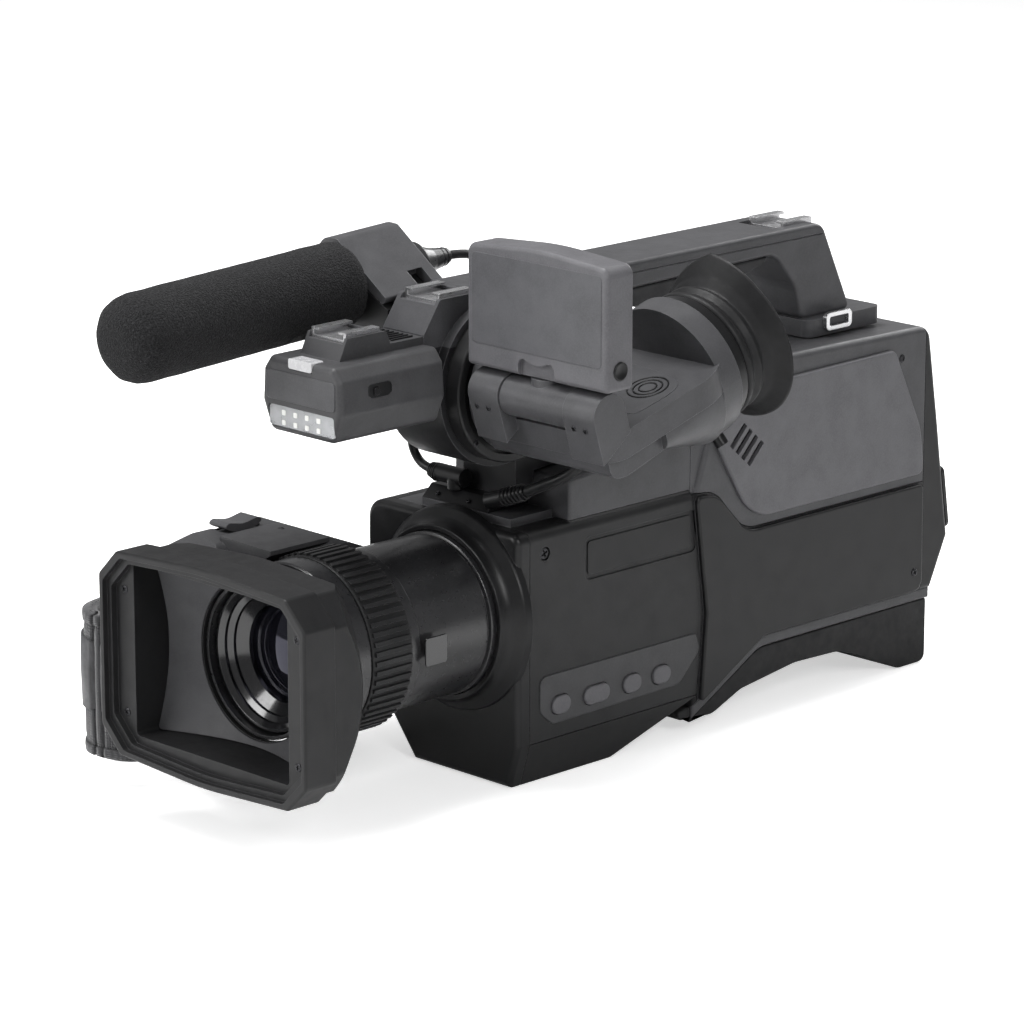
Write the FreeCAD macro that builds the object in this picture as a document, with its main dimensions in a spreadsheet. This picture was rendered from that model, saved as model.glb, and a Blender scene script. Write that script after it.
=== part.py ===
"""A shoulder camcorder as an assembly: one Spreadsheet drives every sub-part, each sub-part is one labelled object.

Frame: millimetres, +Z up, the lens looks along -Y, +X is the operator's left.
The origin is the mouth of the tripod socket: X 0 is the lens axis, Z 0 the bottom of the casing.
"""
import FreeCAD, Part
import math
import os
import Sketcher
from FreeCAD import Placement, Rotation, Vector

doc = FreeCAD.newDocument("camcorder")

# ---------------------------------------------------------------- driving dimensions
SIZES = {
    # casing
    "wall": 2.4, "seam": 0.4,
    "casing_left": 40.0, "casing_right": -58.0, "casing_top": 119.0, "casing_front": -50.0,
    "keel_left": 34.0, "keel_right": -28.0, "chamfer_top": 20.0, "right_chamfer_top": 38.0,
    "front_depth": 8.0, "seam_rear": 66.0, "slope_front": 16.0,
    "deck_left": 38.0, "deck_right": -36.0, "deck_front": -15.3, "deck_low": 138.3, "deck_high": 145.0,
    "rear_left": 40.0, "rear_right": -46.0, "rear_top": 173.0, "rear_end": 245.0, "rear_belly": 38.7,
    "rear_split": 94.0, "plate_rise": 2.2, "block_rise": 9.3,
    # lens
    "lens_height": 78.0, "barrel_radius": 37.0, "flange_radius": 46.0,
    "ring_radius": 41.6, "ring_front": -138.0, "ring_rear": -114.4, "front_ring_radius": 40.0,
    "neck_front": -168.0, "filter_radius": 33.0, "glass_radius": 22.0,
    # hood
    "hood_front": -202.0, "hood_rear": -166.0, "hood_half_width": 67.0, "hood_bottom": 30.0,
    "hood_top": 123.0, "hood_corner": 12.0, "hood_bow": 3.0, "hood_lip": 2.8,
    "hood_frame_y": -196.0, "window_half_width": 50.0, "window_bottom": 39.0, "window_top": 117.5,
    # handle
    "handle_half": 18.0, "handle_top": 226.0, "boss_radius": 38.0, "boss_y": -38.0, "boss_z": 183.5,
    "shoe_width": 21.7, "shoe_length": 20.0, "shoe_plate": 1.2,
    # light
    "light_half": 25.0, "light_front": -142.0, "light_rear": -81.0, "light_top": 206.5,
    "light_bottom": 173.0, "light_deck": 210.0,
    # microphone
    "mic_x": -45.0, "mic_y": -55.0, "mic_z": 225.5, "mic_dip": 3.0, "foam_radius": 19.4,
    "mic_radius": 10.5, "holder_radius": 21.5,
    # viewfinder, in its own tilted frame about the pivot
    "tilt": 17.4, "finder_left": 117.0, "finder_right": 35.0, "finder_deck": 4.2, "finder_belly": -14.0,
    "finder_front": -30.0, "finder_rear": 41.0, "eye_x": 80.0, "eye_drop": -7.0, "eye_radius": 33.6,
    "ring_plate_radius": 35.0,
    # display panel
    "panel_width": 85.0, "panel_height": 54.0, "panel_thickness": 16.0, "panel_x": 77.0,
    "hinge_y": -28.3, "hinge_z": 15.4, "knuckle_radius": 9.6, "panel_lift": 11.0, "pin_radius": 3.0, "running_fit": 0.05,
    # grip
    "grip_outer": -98.0, "grip_inner": -46.0, "grip_front": -158.0, "grip_rear": -12.0,
    "grip_top": 118.0, "grip_bottom": 24.0, "record_x": -78.0, "record_z": 60.0,
    # shoulder pad
    "pad_half": 36.0, "rim_height": 6.0,
    # battery
    "battery_width": 38.5, "battery_height": 62.0, "battery_depth": 38.0, "battery_z": 84.0,
    # small controls and cables
    "cable_radius": 2.1, "thick_cable_radius": 2.6,
}
sheet = doc.addObject("Spreadsheet::Sheet", "sizes")
for row, (alias, number) in enumerate(SIZES.items(), start=1):
    sheet.set(f"A{row}", alias)
    sheet.set(f"B{row}", str(number))
    sheet.setAlias(f"B{row}", alias)
doc.recompute()


class Size:
    """A length worked out from the sheet: its value now, and the expression that keeps it."""

    def __init__(self, value, text):
        self.value = value
        self.text = text

    def _with(self, other, sign, value):
        return Size(value, f"({self.text} {sign} {as_size(other).text})")

    def __add__(self, other):
        return self._with(other, "+", self.value + as_size(other).value)

    def __sub__(self, other):
        return self._with(other, "-", self.value - as_size(other).value)

    def __mul__(self, other):
        return self._with(other, "*", self.value * as_size(other).value)

    def __truediv__(self, other):
        return self._with(other, "/", self.value / as_size(other).value)

    def __radd__(self, other):
        return as_size(other) + self

    def __rsub__(self, other):
        return as_size(other) - self

    def __rmul__(self, other):
        return as_size(other) * self

    def __neg__(self):
        return self * -1


class Named:
    """The sheet's aliases as attributes: dim.wall is the Size of the alias wall."""

    def __getattr__(self, alias):
        return Size(float(sheet.get(alias)), f"sizes.{alias}")


def as_size(number):
    return number if isinstance(number, Size) else Size(float(number), repr(float(number)))


dim = Named()
NODES = {}


def bind(thing, prop, size):
    """Set one property now and keep it on its expression."""
    size = as_size(size)
    if "." not in prop:
        setattr(thing, prop, size.value)
    thing.setExpression(prop, size.text)


def place_at(thing, x=0, y=0, z=0, turn=None):
    """Give a sub-part its Placement: a point from the sheet, and a turn as (axis, degrees)."""
    angle = 0 if turn is None else as_size(turn[1]).value
    axis = Vector(1, 0, 0) if turn is None else Vector(*turn[0])
    thing.Placement = Placement(Vector(*(as_size(v).value for v in (x, y, z))), Rotation(axis, angle))


# ---------------------------------------------------------------- sketches
PLANES = {"X": "YZ_Plane", "Y": "XZ_Plane", "Z": "XY_Plane"}


def corner_points(points):
    """Each corner as (entry, exit, radius): a rounded corner is cut back to its two tangent points."""
    corners = []
    count = len(points)
    for index, point in enumerate(points):
        x, y = as_size(point[0]), as_size(point[1])
        radius = as_size(point[2]).value if len(point) > 2 else 0
        if not radius:
            corners.append(((x, y), (x, y), 0))
            continue
        here = Vector(x.value, y.value, 0)
        sides = []
        for other in (points[index - 1], points[(index + 1) % count]):
            side = Vector(as_size(other[0]).value, as_size(other[1]).value, 0) - here
            sides.append(side.normalize())
        back = radius / math.tan(sides[0].getAngle(sides[1]) / 2)
        entry, leave = ((x + side.x * back, y + side.y * back) for side in sides)
        corners.append((entry, leave, radius))
    return corners


def pin_point(sketch, geometry, end, point):
    """Hold one end of a sketch line at a point bound to the sheet."""
    for kind, number in (("DistanceX", point[0]), ("DistanceY", point[1])):
        size = as_size(number)
        index = sketch.addConstraint(Sketcher.Constraint(kind, -1, 1, geometry, end, size.value))
        sketch.setExpression(f"Constraints[{index}]", size.text)


def as_vector(point):
    return Vector(as_size(point[0]).value, as_size(point[1]).value, 0)


def draw_loop(sketch, points):
    """A closed outline of (x, y) or (x, y, corner radius) points."""
    corners = corner_points(points)
    for index, (entry, leave, radius) in enumerate(corners):
        if radius:
            start, end = as_vector(entry), as_vector(leave)
            corner = as_vector(points[index])
            inward = ((start + end) * 0.5 - corner).normalize()
            half = (start - corner).getAngle(end - corner) / 2
            through = corner + inward * (radius / math.sin(half) - radius)
            arc = sketch.addGeometry(Part.Arc(start, through, end), False)
            first = 1 if (sketch.getPoint(arc, 1) - start).Length < 1e-6 else 2
            pin_point(sketch, arc, first, entry)
            pin_point(sketch, arc, 3 - first, leave)
            sketch.addConstraint(Sketcher.Constraint("Radius", arc, radius))
        following = corners[(index + 1) % len(corners)][0]
        line = sketch.addGeometry(Part.LineSegment(as_vector(leave), as_vector(following)), False)
        pin_point(sketch, line, 1, leave)
        pin_point(sketch, line, 2, following)


def draw_circle(sketch, x, y, radius):
    ring = sketch.addGeometry(Part.Circle(as_vector((x, y)), Vector(0, 0, 1), as_size(radius).value), False)
    pin_point(sketch, ring, 3, (x, y))
    index = sketch.addConstraint(Sketcher.Constraint("Radius", ring, as_size(radius).value))
    sketch.setExpression(f"Constraints[{index}]", as_size(radius).text)


def circle(x, y, radius):
    return ("circle", x, y, radius)


def new_sketch(body, axis, level, loops):
    """A sketch square to an axis, at a level along it: (y, z) for X, (x, z) for Y, (x, y) for Z."""
    sketch = body.newObject("Sketcher::SketchObject", "outline")
    plane = next(f for f in body.Origin.OriginFeatures if f.Role == PLANES[axis])
    sketch.AttachmentSupport = (plane, [""])
    sketch.MapMode = "FlatFace"
    offset = as_size(level) * (-1 if axis == "Y" else 1)
    sketch.AttachmentOffset = Placement(Vector(0, 0, offset.value), Rotation())
    sketch.setExpression("AttachmentOffset.Base.z", offset.text)
    for loop in loops:
        if loop[0] == "circle":
            draw_circle(sketch, *loop[1:])
        else:
            draw_loop(sketch, loop)
    return sketch


# ---------------------------------------------------------------- solid features
def new_body(label, node=True):
    body = doc.addObject("PartDesign::Body", label)
    body.Label = label
    if node:
        NODES[label] = body
    return body


def add_feature(body, kind, sketch):
    feature = body.newObject(f"PartDesign::{kind}", kind.lower())
    feature.Profile = sketch
    body.Tip = feature
    return feature


def pad(body, axis, low, high, *loops):
    """Material between two levels along an axis."""
    sketch = new_sketch(body, axis, high if axis == "Y" else low, loops)
    feature = add_feature(body, "Pad", sketch)
    bind(feature, "Length", as_size(high) - low)
    return feature


def pocket(body, axis, low, high, *loops):
    """A cut between two levels along an axis; it must take something away."""
    doc.recompute()
    before = body.Shape.Volume
    sketch = new_sketch(body, axis, low if axis == "Y" else high, loops)
    feature = add_feature(body, "Pocket", sketch)
    bind(feature, "Length", as_size(high) - low)
    doc.recompute()
    if body.Shape.Volume > before - 0.01:
        raise RuntimeError(f"a pocket of {body.Label} cuts nothing")
    return feature


def turn(body, *loops):
    """A turned shape: an outline of (y, radius) points about the body's own Y axis."""
    sketch = new_sketch(body, "X", 0, loops)
    feature = add_feature(body, "Revolution", sketch)
    feature.ReferenceAxis = (sketch, ["H_Axis"])
    feature.Angle = 360
    return feature


def round_edges(body, radius, chosen):
    """A fillet on the edges of the body that the test picks."""
    doc.recompute()
    base = body.Tip
    names = [f"Edge{i}" for i, edge in enumerate(base.Shape.Edges, 1) if chosen(edge)]
    if not names:
        raise RuntimeError(f"no edge of {body.Label} to round")
    feature = body.newObject("PartDesign::Fillet", "rounded")
    feature.Base = (base, names)
    bind(feature, "Radius", radius)
    body.Tip = feature
    return feature


def edge_at(axis, level, tolerance=0.01):
    """Edges lying in the plane at a level along an axis."""
    index = "XYZ".index(axis)
    level = as_size(level).value

    def test(edge):
        box = edge.BoundBox
        low, high = ((box.XMin, box.XMax), (box.YMin, box.YMax), (box.ZMin, box.ZMax))[index]
        return abs(low - level) < tolerance and abs(high - level) < tolerance
    return test


def box(low, high):
    """A rectangle as a loop, from its low and high corners in the sketch's own two directions."""
    return [(low[0], low[1]), (high[0], low[1]), (high[0], high[1]), (low[0], high[1])]


def rounded_box(low, high, radius):
    return [(x, y, radius) for x, y in box(low, high)]


def combine(kind, label, base, tool, node=False):
    """A Part::Cut or Part::Common of two objects."""
    result = doc.addObject(f"Part::{kind}", label)
    result.Label = label
    result.Base = base
    result.Tool = tool
    if node:
        NODES[label] = result
    return result


def gather(kind, label, pieces, node=False):
    """A Part::MultiFuse or Part::Compound of several objects."""
    result = doc.addObject(f"Part::{kind}", label)
    result.Label = label
    if kind == "Compound":
        result.Links = pieces
    else:
        result.Shapes = pieces
    if node:
        NODES[label] = result
    return result


def cylinder(label, radius, length, x=0, y=0, z=0, axis="Z"):
    """A Part::Cylinder that starts at a point and runs along +X, +Y or +Z."""
    shape = doc.addObject("Part::Cylinder", label)
    bind(shape, "Radius", radius)
    bind(shape, "Height", length)
    turns = {"X": ((0, 1, 0), 90), "Y": ((1, 0, 0), -90), "Z": ((0, 0, 1), 0)}
    place_at(shape, x, y, z, turns[axis])
    return shape


# ---------------------------------------------------------------- casing forms
def front_form(label, inset, rear):
    """The deep front half of the casing: chamfered along both bottom edges."""
    body = new_body(label, node=False)
    low, left = as_size(inset), dim.casing_left - inset
    right, top = dim.casing_right + inset, dim.casing_top - inset
    outline = [(dim.keel_left - inset * 0.8, low), (left, dim.chamfer_top), (left, top, 5 - inset),
               (right, top, 9 - inset), (right, dim.right_chamfer_top), (dim.keel_right + inset * 0.5, low)]
    pad(body, "Y", dim.casing_front + inset, rear, outline)
    if not as_size(inset).value:
        round_edges(body, 3, edge_at("Y", dim.casing_front))
    pocket(body, "X", right - 5, left + 5, [(dim.slope_front - inset, -1), (dim.slope_front - inset, low),
                                            (dim.slope_front + 52 - inset, low + 20), (90, low + 20), (90, -1)])
    return body


def rear_form(label, inset):
    """The rear half: it steps up over the shoulder and slopes in at the back."""
    body = new_body(label, node=False)
    belly, top, end = dim.rear_belly + inset, dim.rear_top - inset, dim.rear_end - inset
    front = dim.seam_rear + inset
    outline = [(front, 14 + inset * 1.2), (front + 46, belly), (end - 9, belly), (end + 3, 63.5),
               (end - 6, 122), (end - 14, top - 2, 8), (front + 62, top, 14), (front + 8, 143.6),
               (front, 120)]
    pad(body, "X", dim.rear_right + inset, dim.rear_left - inset, outline)
    if not as_size(inset).value:
        for side in (dim.rear_left, dim.rear_right):
            round_edges(body, 3, edge_at("X", side))
    return body


def deck_form(label, inset):
    """The raised block on top of the casing that carries the handle."""
    body = new_body(label, node=False)
    outline = [(dim.deck_front + inset, 110), (dim.deck_front + inset, dim.deck_low - inset, 2),
               (86, dim.deck_high - inset), (86, 110)]
    pad(body, "X", dim.deck_right + inset, dim.deck_left - inset, outline)
    if not as_size(inset).value:
        for side in (dim.deck_left, dim.deck_right):
            round_edges(body, 1.5, edge_at("X", side))
    return body


def casing_shell():
    """All casing walls in one piece, before the seams divide them into covers."""
    outer = [front_form("front_outer", 0, 68), rear_form("rear_outer", 0), deck_form("deck_outer", 0)]
    inner = [front_form("front_inner", dim.wall, 75), rear_form("rear_inner", dim.wall),
             deck_form("deck_inner", dim.wall)]
    return combine("Cut", "casing_shell", gather("MultiFuse", "casing_outer", outer),
                   gather("MultiFuse", "casing_inner", inner))


def region(label, axis, low, high, loop):
    """A block of space that a cover is cut from."""
    body = new_body(label, node=False)
    pad(body, axis, low, high, loop)
    return body


def side_front_outline(front):
    """The front side cover, seen from the side: a slanted rear seam and a straight lower edge."""
    seam, top = dim.seam_rear - dim.seam, dim.casing_top + dim.seam * 0.5
    return [(front, dim.chamfer_top + dim.seam), (front, top), (seam - 2, top),
            (seam - 2, 117), (seam + 5.6, 59), (seam + 2, dim.chamfer_top + dim.seam)]


def side_rear_outline():
    """The lower rear cover, seen from the side: its top edge drops in a soft S behind the front cover."""
    seam, split, end = dim.seam_rear, dim.rear_split, dim.rear_end
    return [(seam - 2, 117), (seam + 12, 116.4, 18), (seam + 33, split, 18), (end - 17.6, split),
            (end - 17.6, dim.rear_belly - 1), (seam + 46, dim.rear_belly - 1), (seam + 2, 13),
            (seam + 2, dim.chamfer_top), (seam + 5.6, 59)]


def housing_outline():
    """Everything above the lower rear covers, seen from the side."""
    seam, gap, end = dim.seam_rear, dim.seam, dim.rear_end
    split = dim.rear_split + gap
    return [(seam - 2, 117 + gap), (seam + 12, 116.4 + gap, 18), (seam + 33, split, 18), (end - 17.6, split),
            (end - 17.6, 185), (seam - 2, 185)]


def front_casing(shell):
    """The black front of the casing, with the round flange that the lens barrel comes out of."""
    front, rear = dim.casing_front, dim.casing_front + dim.front_depth
    face = combine("Common", "front_walls", shell,
                   region("front_region", "Y", front - 5, rear - dim.seam, box((-70, -5), (50, 130))))
    flange = new_body("front_flange", node=False)
    neck = dim.barrel_radius + 3.2
    turn(flange, [(front + 2.4, dim.barrel_radius + 1), (front + 2.4, dim.flange_radius + 1.6),
                  (front - 1.5, dim.flange_radius + 1, 2), (front - 6, neck + 1.2, 7), (front - 11, neck, 0.6),
                  (front - 11, dim.barrel_radius + 1)])
    place_at(flange, 0, 0, dim.lens_height)
    joined = gather("MultiFuse", "front_joined", [face, flange])
    hole = cylinder("lens_hole", dim.barrel_radius + 0.8, 30, 0, front - 15, dim.lens_height, "Y")
    combine("Cut", "front_casing", joined, hole, node=True)


def side_covers(shell):
    """Four side covers: front and lower rear, left and right."""
    front, depth = dim.casing_front + dim.front_depth, 12
    left, right = dim.casing_left, dim.casing_right
    left_front = combine("Common", "left_front_wall", shell,
                         region("left_front_region", "X", left - depth, left + 5, side_front_outline(front)))
    recess = new_body("name_strip_recess", node=False)
    pad(recess, "X", left - 0.8, left + 1, rounded_box((-7, 90), (66, 110), 3))
    screw = cylinder("left_screw_hole", 3.2, 4, left - 1.6, -32.6, 107.6, "X")
    panel_bed = new_body("panel_bed", node=False)
    pad(panel_bed, "X", left - 1.2, left + 2, button_panel_outline())
    cutters = gather("MultiFuse", "left_front_cutters", [recess, screw, panel_bed, button_holes("left_front")])
    combine("Cut", "left_front_cover", left_front, cutters, node=True)
    rear_wall = combine("Common", "left_rear_wall", shell,
                        region("left_rear_region", "X", dim.rear_left - depth, dim.rear_left + 5,
                               side_rear_outline()))
    rise = new_body("left_rear_rise", node=False)
    seam, split, end = dim.seam_rear, dim.rear_split, dim.rear_end
    pad(rise, "X", dim.rear_left - 1, dim.rear_left + dim.plate_rise,
        [(seam - 1.6, 116, 3), (seam + 12, 115.6, 18), (seam + 33, split - 0.5, 18), (end - 19, split - 0.5, 3),
         (end - 18.4, dim.rear_belly + 1, 6), (seam + 46, dim.rear_belly + 1), (seam + 3, 15.5, 2),
         (seam + 3, dim.chamfer_top), (seam + 6, 59)])
    round_edges(rise, 1.2, edge_at("X", dim.rear_left + dim.plate_rise))
    gather("MultiFuse", "left_rear_cover", [rear_wall, rise], node=True)
    right_side = gather("MultiFuse", "right_region", [
        region("right_front_region", "X", right - 5, right + depth, side_front_outline(front)),
        region("right_rear_region", "X", dim.rear_right - 5, dim.rear_right + depth, side_rear_outline())])
    combine("Common", "right_cover", shell, right_side, node=True)


def top_and_bottom(shell):
    """The top cover with its raised deck, and the bottom plate that carries the tripod socket."""
    front, gap = dim.casing_front + dim.front_depth, dim.seam
    depth = 12
    strip = region("top_strip_region", "Z", 100, dim.casing_top + 2,
                   box((dim.casing_right + depth + gap, front), (dim.casing_left - depth - gap, 63.6)))
    block = region("deck_region", "Z", dim.casing_top + gap, 160, box((-56, front + 5), (39.5, 63.6)))
    walls = combine("Common", "top_walls", shell, gather("MultiFuse", "top_region", [strip, block]))
    shelf = new_body("top_shelf", node=False)
    pad(shelf, "Z", dim.casing_top - 1, dim.casing_top + 3.6,
        [(-30, front + 0.4), (27, front + 0.4), (27, dim.deck_front + 1), (-30, dim.deck_front + 1)])
    gather("MultiFuse", "top_cover", [walls, shelf], node=True)
    floor = combine("Common", "bottom_walls", shell,
                    region("bottom_region", "Z", -2, dim.chamfer_top, box((-56, front), (45, 67.6))))
    boss = cylinder("socket_boss", 11, 9)
    plate = gather("MultiFuse", "bottom_joined", [floor, boss])
    combine("Cut", "bottom_plate", plate, cylinder("socket_hole", 3.175, 12, 0, 0, -1), node=True)


def rear_housing(shell):
    """The upper rear shell over the shoulder, open on its left under the speaker panel."""
    walls = combine("Common", "housing_walls", shell,
                    region("housing_region", "X", -60, 50, housing_outline()))
    opening = new_body("speaker_opening", node=False)
    pad(opening, "X", dim.rear_left - 4, dim.rear_left + 3, rounded_box((dim.seam_rear + 25, 128), (110, 146), 3))
    combine("Cut", "rear_housing", walls, opening, node=True)


def speaker_panel():
    """The raised upper left panel with four slanted speaker slots."""
    body = new_body("speaker_panel")
    seam, split, end = dim.seam_rear, dim.rear_split, dim.rear_end
    outer = dim.rear_left + dim.plate_rise
    pad(body, "X", dim.rear_left + 0.05, outer,
        [(seam + 9.5, 142, 3), (seam + 36, split + 4.6, 26), (end - 19, split + 4.6, 4), (end - 22, 122, 30),
         (end - 42, 163.5, 5), (seam + 48, 162.5, 6)])
    round_edges(body, 1.2, edge_at("X", outer))
    slots = []
    for index in range(4):
        y, z = 92 + index * 3.9, 140.5 - index * 3.4
        run, wide = 4.8, 1.05
        slots.append([(y - run - wide, z - run + wide), (y - run + wide, z - run - wide),
                      (y + run + wide, z + run - wide), (y + run - wide, z + run + wide)])
    pocket(body, "X", dim.rear_left - 1, outer + 1, *slots)


def battery_bay(shell):
    """The rear wall of the casing with a deep bay for the battery."""
    end = dim.rear_end
    wall = combine("Common", "rear_wall", shell,
                   region("rear_region", "Y", end - 17.2, end + 10, box((-60, 30), (50, 185))))
    half, tall, floor_y = dim.battery_width / 2 + 1.9, dim.battery_height / 2 + 1.9, end - 40
    outer = new_body("bay_outer", node=False)
    pad(outer, "Y", floor_y, end - 1.5, box((-half - 3, dim.battery_z - tall), (half - 3, dim.battery_z + tall)))
    inner = new_body("bay_inner", node=False)
    half, tall = dim.battery_width / 2 + 0.3, dim.battery_height / 2 + 0.3
    pad(inner, "Y", floor_y + 1.6, end + 12,
        box((-half - 3, dim.battery_z - tall), (half - 3, dim.battery_z + tall)))
    joined = gather("MultiFuse", "rear_joined", [wall, outer])
    release = new_body("release_hole", node=False)
    pad(release, "Y", end - 25, end + 12, rounded_box((-33.4, 77.6), (-26.6, 90.4), 2))
    combine("Cut", "battery_bay", joined, gather("MultiFuse", "bay_cutters", [inner, release]), node=True)


def battery():
    body = new_body("battery")
    half, tall, end = dim.battery_width / 2, dim.battery_height / 2, dim.rear_end
    pad(body, "Y", end - dim.battery_depth, end - 0.5,
        rounded_box((-half - 3, dim.battery_z - tall), (half - 3, dim.battery_z + tall), 2.5))
    round_edges(body, 1.2, edge_at("Y", end - 0.5))


def battery_release():
    """The sprung catch beside the battery."""
    body = new_body("battery_release")
    end = dim.rear_end
    pad(body, "Y", end - 8, end + 1.6, rounded_box((-33.1, 77.9), (-26.9, 90.1), 1.8))
    round_edges(body, 0.8, edge_at("Y", end + 1.6))


def terminal_cover():
    """The hinged rubber flap over the sockets at the left of the rear face; it follows the rear slope."""
    body = new_body("terminal_cover")
    pad(body, "Y", 0, 2.6, rounded_box((-17, -16), (0, 16), 3))
    round_edges(body, 1, edge_at("Y", 2.6))
    place_at(body, dim.rear_left - 1.5, dim.rear_end + 0.75, 82, ((1, 0, 0), 8.75))


# ---------------------------------------------------------------- controls on the left side
BUTTONS = {"peaking_button": (-23.3, 11.6), "manual_button": (-0.3, 16.4), "balance_button": (23, 11.6),
           "balance_set_button": (42.5, 11.6)}


def button_panel_outline():
    """A panel that is straight above and tapers to a rounded nose below."""
    return [(-36, 50.5, 4), (66, 50.5, 2), (69, 42, 4), (55, 28, 6), (-28, 27, 6), (-36, 34, 5)]


def button_outline(label, grow=0):
    y, length = BUTTONS[label]
    radius = 4.25 + grow
    return rounded_box((y - length / 2 - grow, 35.6 - 4.3 - grow), (y + length / 2 + grow, 35.6 + 4.3 + grow),
                       radius)


def button_holes(prefix):
    """Clearance for the four buttons."""
    body = new_body(f"{prefix}_button_holes", node=False)
    pad(body, "X", dim.casing_left - 5, dim.casing_left + 5,
        *[button_outline(label, 0.35) for label in BUTTONS])
    return body


def button_panel():
    body = new_body("button_panel")
    outer = dim.casing_left + 0.6
    pad(body, "X", dim.casing_left - 1.15, outer, button_panel_outline())
    round_edges(body, 0.5, edge_at("X", outer))
    pocket(body, "X", dim.casing_left - 3, outer + 1, *[button_outline(label, 0.35) for label in BUTTONS])


def side_buttons():
    """Four oblong push buttons, each on its own short stem."""
    outer = dim.casing_left + 1.9
    for label in BUTTONS:
        body = new_body(label)
        pad(body, "X", dim.casing_left - 3.2, outer, button_outline(label))
        round_edges(body, 0.7, edge_at("X", outer))


# ---------------------------------------------------------------- inside the casing
def chassis_frame():
    """The metal frame: lens plate, floor, spine and rear bulkhead."""
    body = new_body("chassis_frame")
    pad(body, "Y", -39, -36.5, [(-31, 12), (30, 12), (34, 20), (34, 112), (-50, 112), (-50, 42)])
    pad(body, "Z", 9.2, 12.6, box((-22, -39), (28, 30)))
    pad(body, "Z", 106, 110, box((-12, -38), (12, 205)))
    pad(body, "X", -4, 4, [(58, 25), (66, 25), (112, 46), (204, 46), (204, 50), (110, 50), (66, 108), (58, 108)])
    pad(body, "Y", 200, 203, box((-30, 46), (30, 160)))
    pocket(body, "Y", -45, -30, circle(0, dim.lens_height, 26))


def circuit_boards():
    """The main board on edge along the left, and the image sensor behind the lens."""
    board = new_body("main_board", node=False)
    pad(board, "X", 20, 21.6, [(-30, 24), (55, 24), (55, 100), (-30, 100)])
    for y, z, size in ((-10, 70, 9), (18, 60, 12), (38, 84, 7), (20, 36, 6)):
        pad(board, "X", 21.6, 23.2, box((y - size, z - size), (y + size, z + size)))
    sensor = new_body("image_sensor", node=False)
    half = 19
    pad(sensor, "Y", -33, -31.4, box((-half, dim.lens_height - half), (half, dim.lens_height + half)))
    pad(sensor, "Y", -35, -33, box((-9, dim.lens_height - 7), (9, dim.lens_height + 7)))
    gather("Compound", "circuit_boards", [board, sensor], node=True)


# ---------------------------------------------------------------- lens and hood
def lens_barrel():
    """The barrel: a smooth front ring, a seat for the manual ring, and stepped rings at the casing."""
    body = new_body("lens_barrel")
    bore, ring_seat = 29.5, dim.ring_radius - 5.55
    front, rear = dim.ring_front, dim.ring_rear
    turn(body, [(dim.neck_front + 0.5, bore + 4.3), (dim.neck_front + 0.5, 35.6, 0.6), (front - 12, 35.6),
                (front - 12, dim.front_ring_radius, 1.2), (front - 0.3, dim.front_ring_radius, 0.6),
                (front - 0.3, ring_seat), (rear + 0.3, ring_seat), (rear + 0.3, 38.6, 0.5), (rear + 6, 38.6, 0.5),
                (rear + 7.5, dim.barrel_radius), (-66, dim.barrel_radius), (-65.4, 35.8), (-64, 35.8),
                (-63.4, dim.barrel_radius + 0.6, 0.4), (-44, dim.barrel_radius + 0.6), (-44, bore),
                (-148, bore), (-148, bore + 4.3)])
    place_at(body, 0, 0, dim.lens_height)


def manual_ring():
    """The ribbed focus and zoom ring, free to turn on its seat."""
    body = new_body("manual_ring")
    inner, root = dim.ring_radius - 5.5, dim.ring_radius - 1.1
    front, rear = dim.ring_front, dim.ring_rear
    turn(body, [(front, inner), (front, root, 0.6), (rear, root, 0.6), (rear, inner)])
    rib = pad(body, "Y", front + 1.2, rear - 1.2, box((-1.0, root - 0.5), (1.0, dim.ring_radius)))
    pattern = body.newObject("PartDesign::PolarPattern", "ribs")
    pattern.Originals = [rib]
    axis = next(f for f in body.Origin.OriginFeatures if f.Role == "Y_Axis")
    pattern.Axis = (axis, [""])
    pattern.Angle = 360
    pattern.Occurrences = 60
    body.Tip = pattern
    place_at(body, 0, 0, dim.lens_height)


def lens_glass():
    """The dished ring around the front glass, the domed front glass, and the sealed rear group."""
    ring = new_body("lens_front_ring")
    outer, glass = dim.filter_radius, dim.glass_radius
    turn(ring, [(-164, outer - 1.4), (-164, outer, 0.4), (-149, outer), (-149, glass + 0.3), (-154, glass + 0.3),
                (-156, 25), (-157.5, 27), (-159, 27), (-160.5, 29.5), (-162, 29.5)])
    place_at(ring, 0, 0, dim.lens_height)
    ball = doc.addObject("Part::Sphere", "front_glass_ball")
    bind(ball, "Radius", 48)
    place_at(ball, 0, -109, dim.lens_height)
    rod = cylinder("front_glass_rod", glass, 12, 0, -158, dim.lens_height, "Y")
    combine("Common", "front_lens", ball, rod, node=True)
    group = new_body("rear_lens_group")
    turn(group, [(-144, 0), (-144, 22), (-120, 22), (-120, 27), (-60, 27), (-60, 20), (-37, 20), (-37, 0)])
    place_at(group, 0, 0, dim.lens_height)


def hood_outline(inset):
    """The hood from the front: an octagon whose long sides bow a little."""
    half, low, high = dim.hood_half_width - inset, dim.hood_bottom + inset, dim.hood_top - inset
    corner, bow = dim.hood_corner, dim.hood_bow
    return [(half, low + corner, 3), (half, high - corner, 3), (half - corner, high, 3), (0, high + bow, 200),
            (-half + corner, high, 3), (-half, high - corner, 3), (-half, low + corner, 3),
            (-half + corner, low, 3), (0, low - bow, 200), (half - corner, low, 3)]


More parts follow.
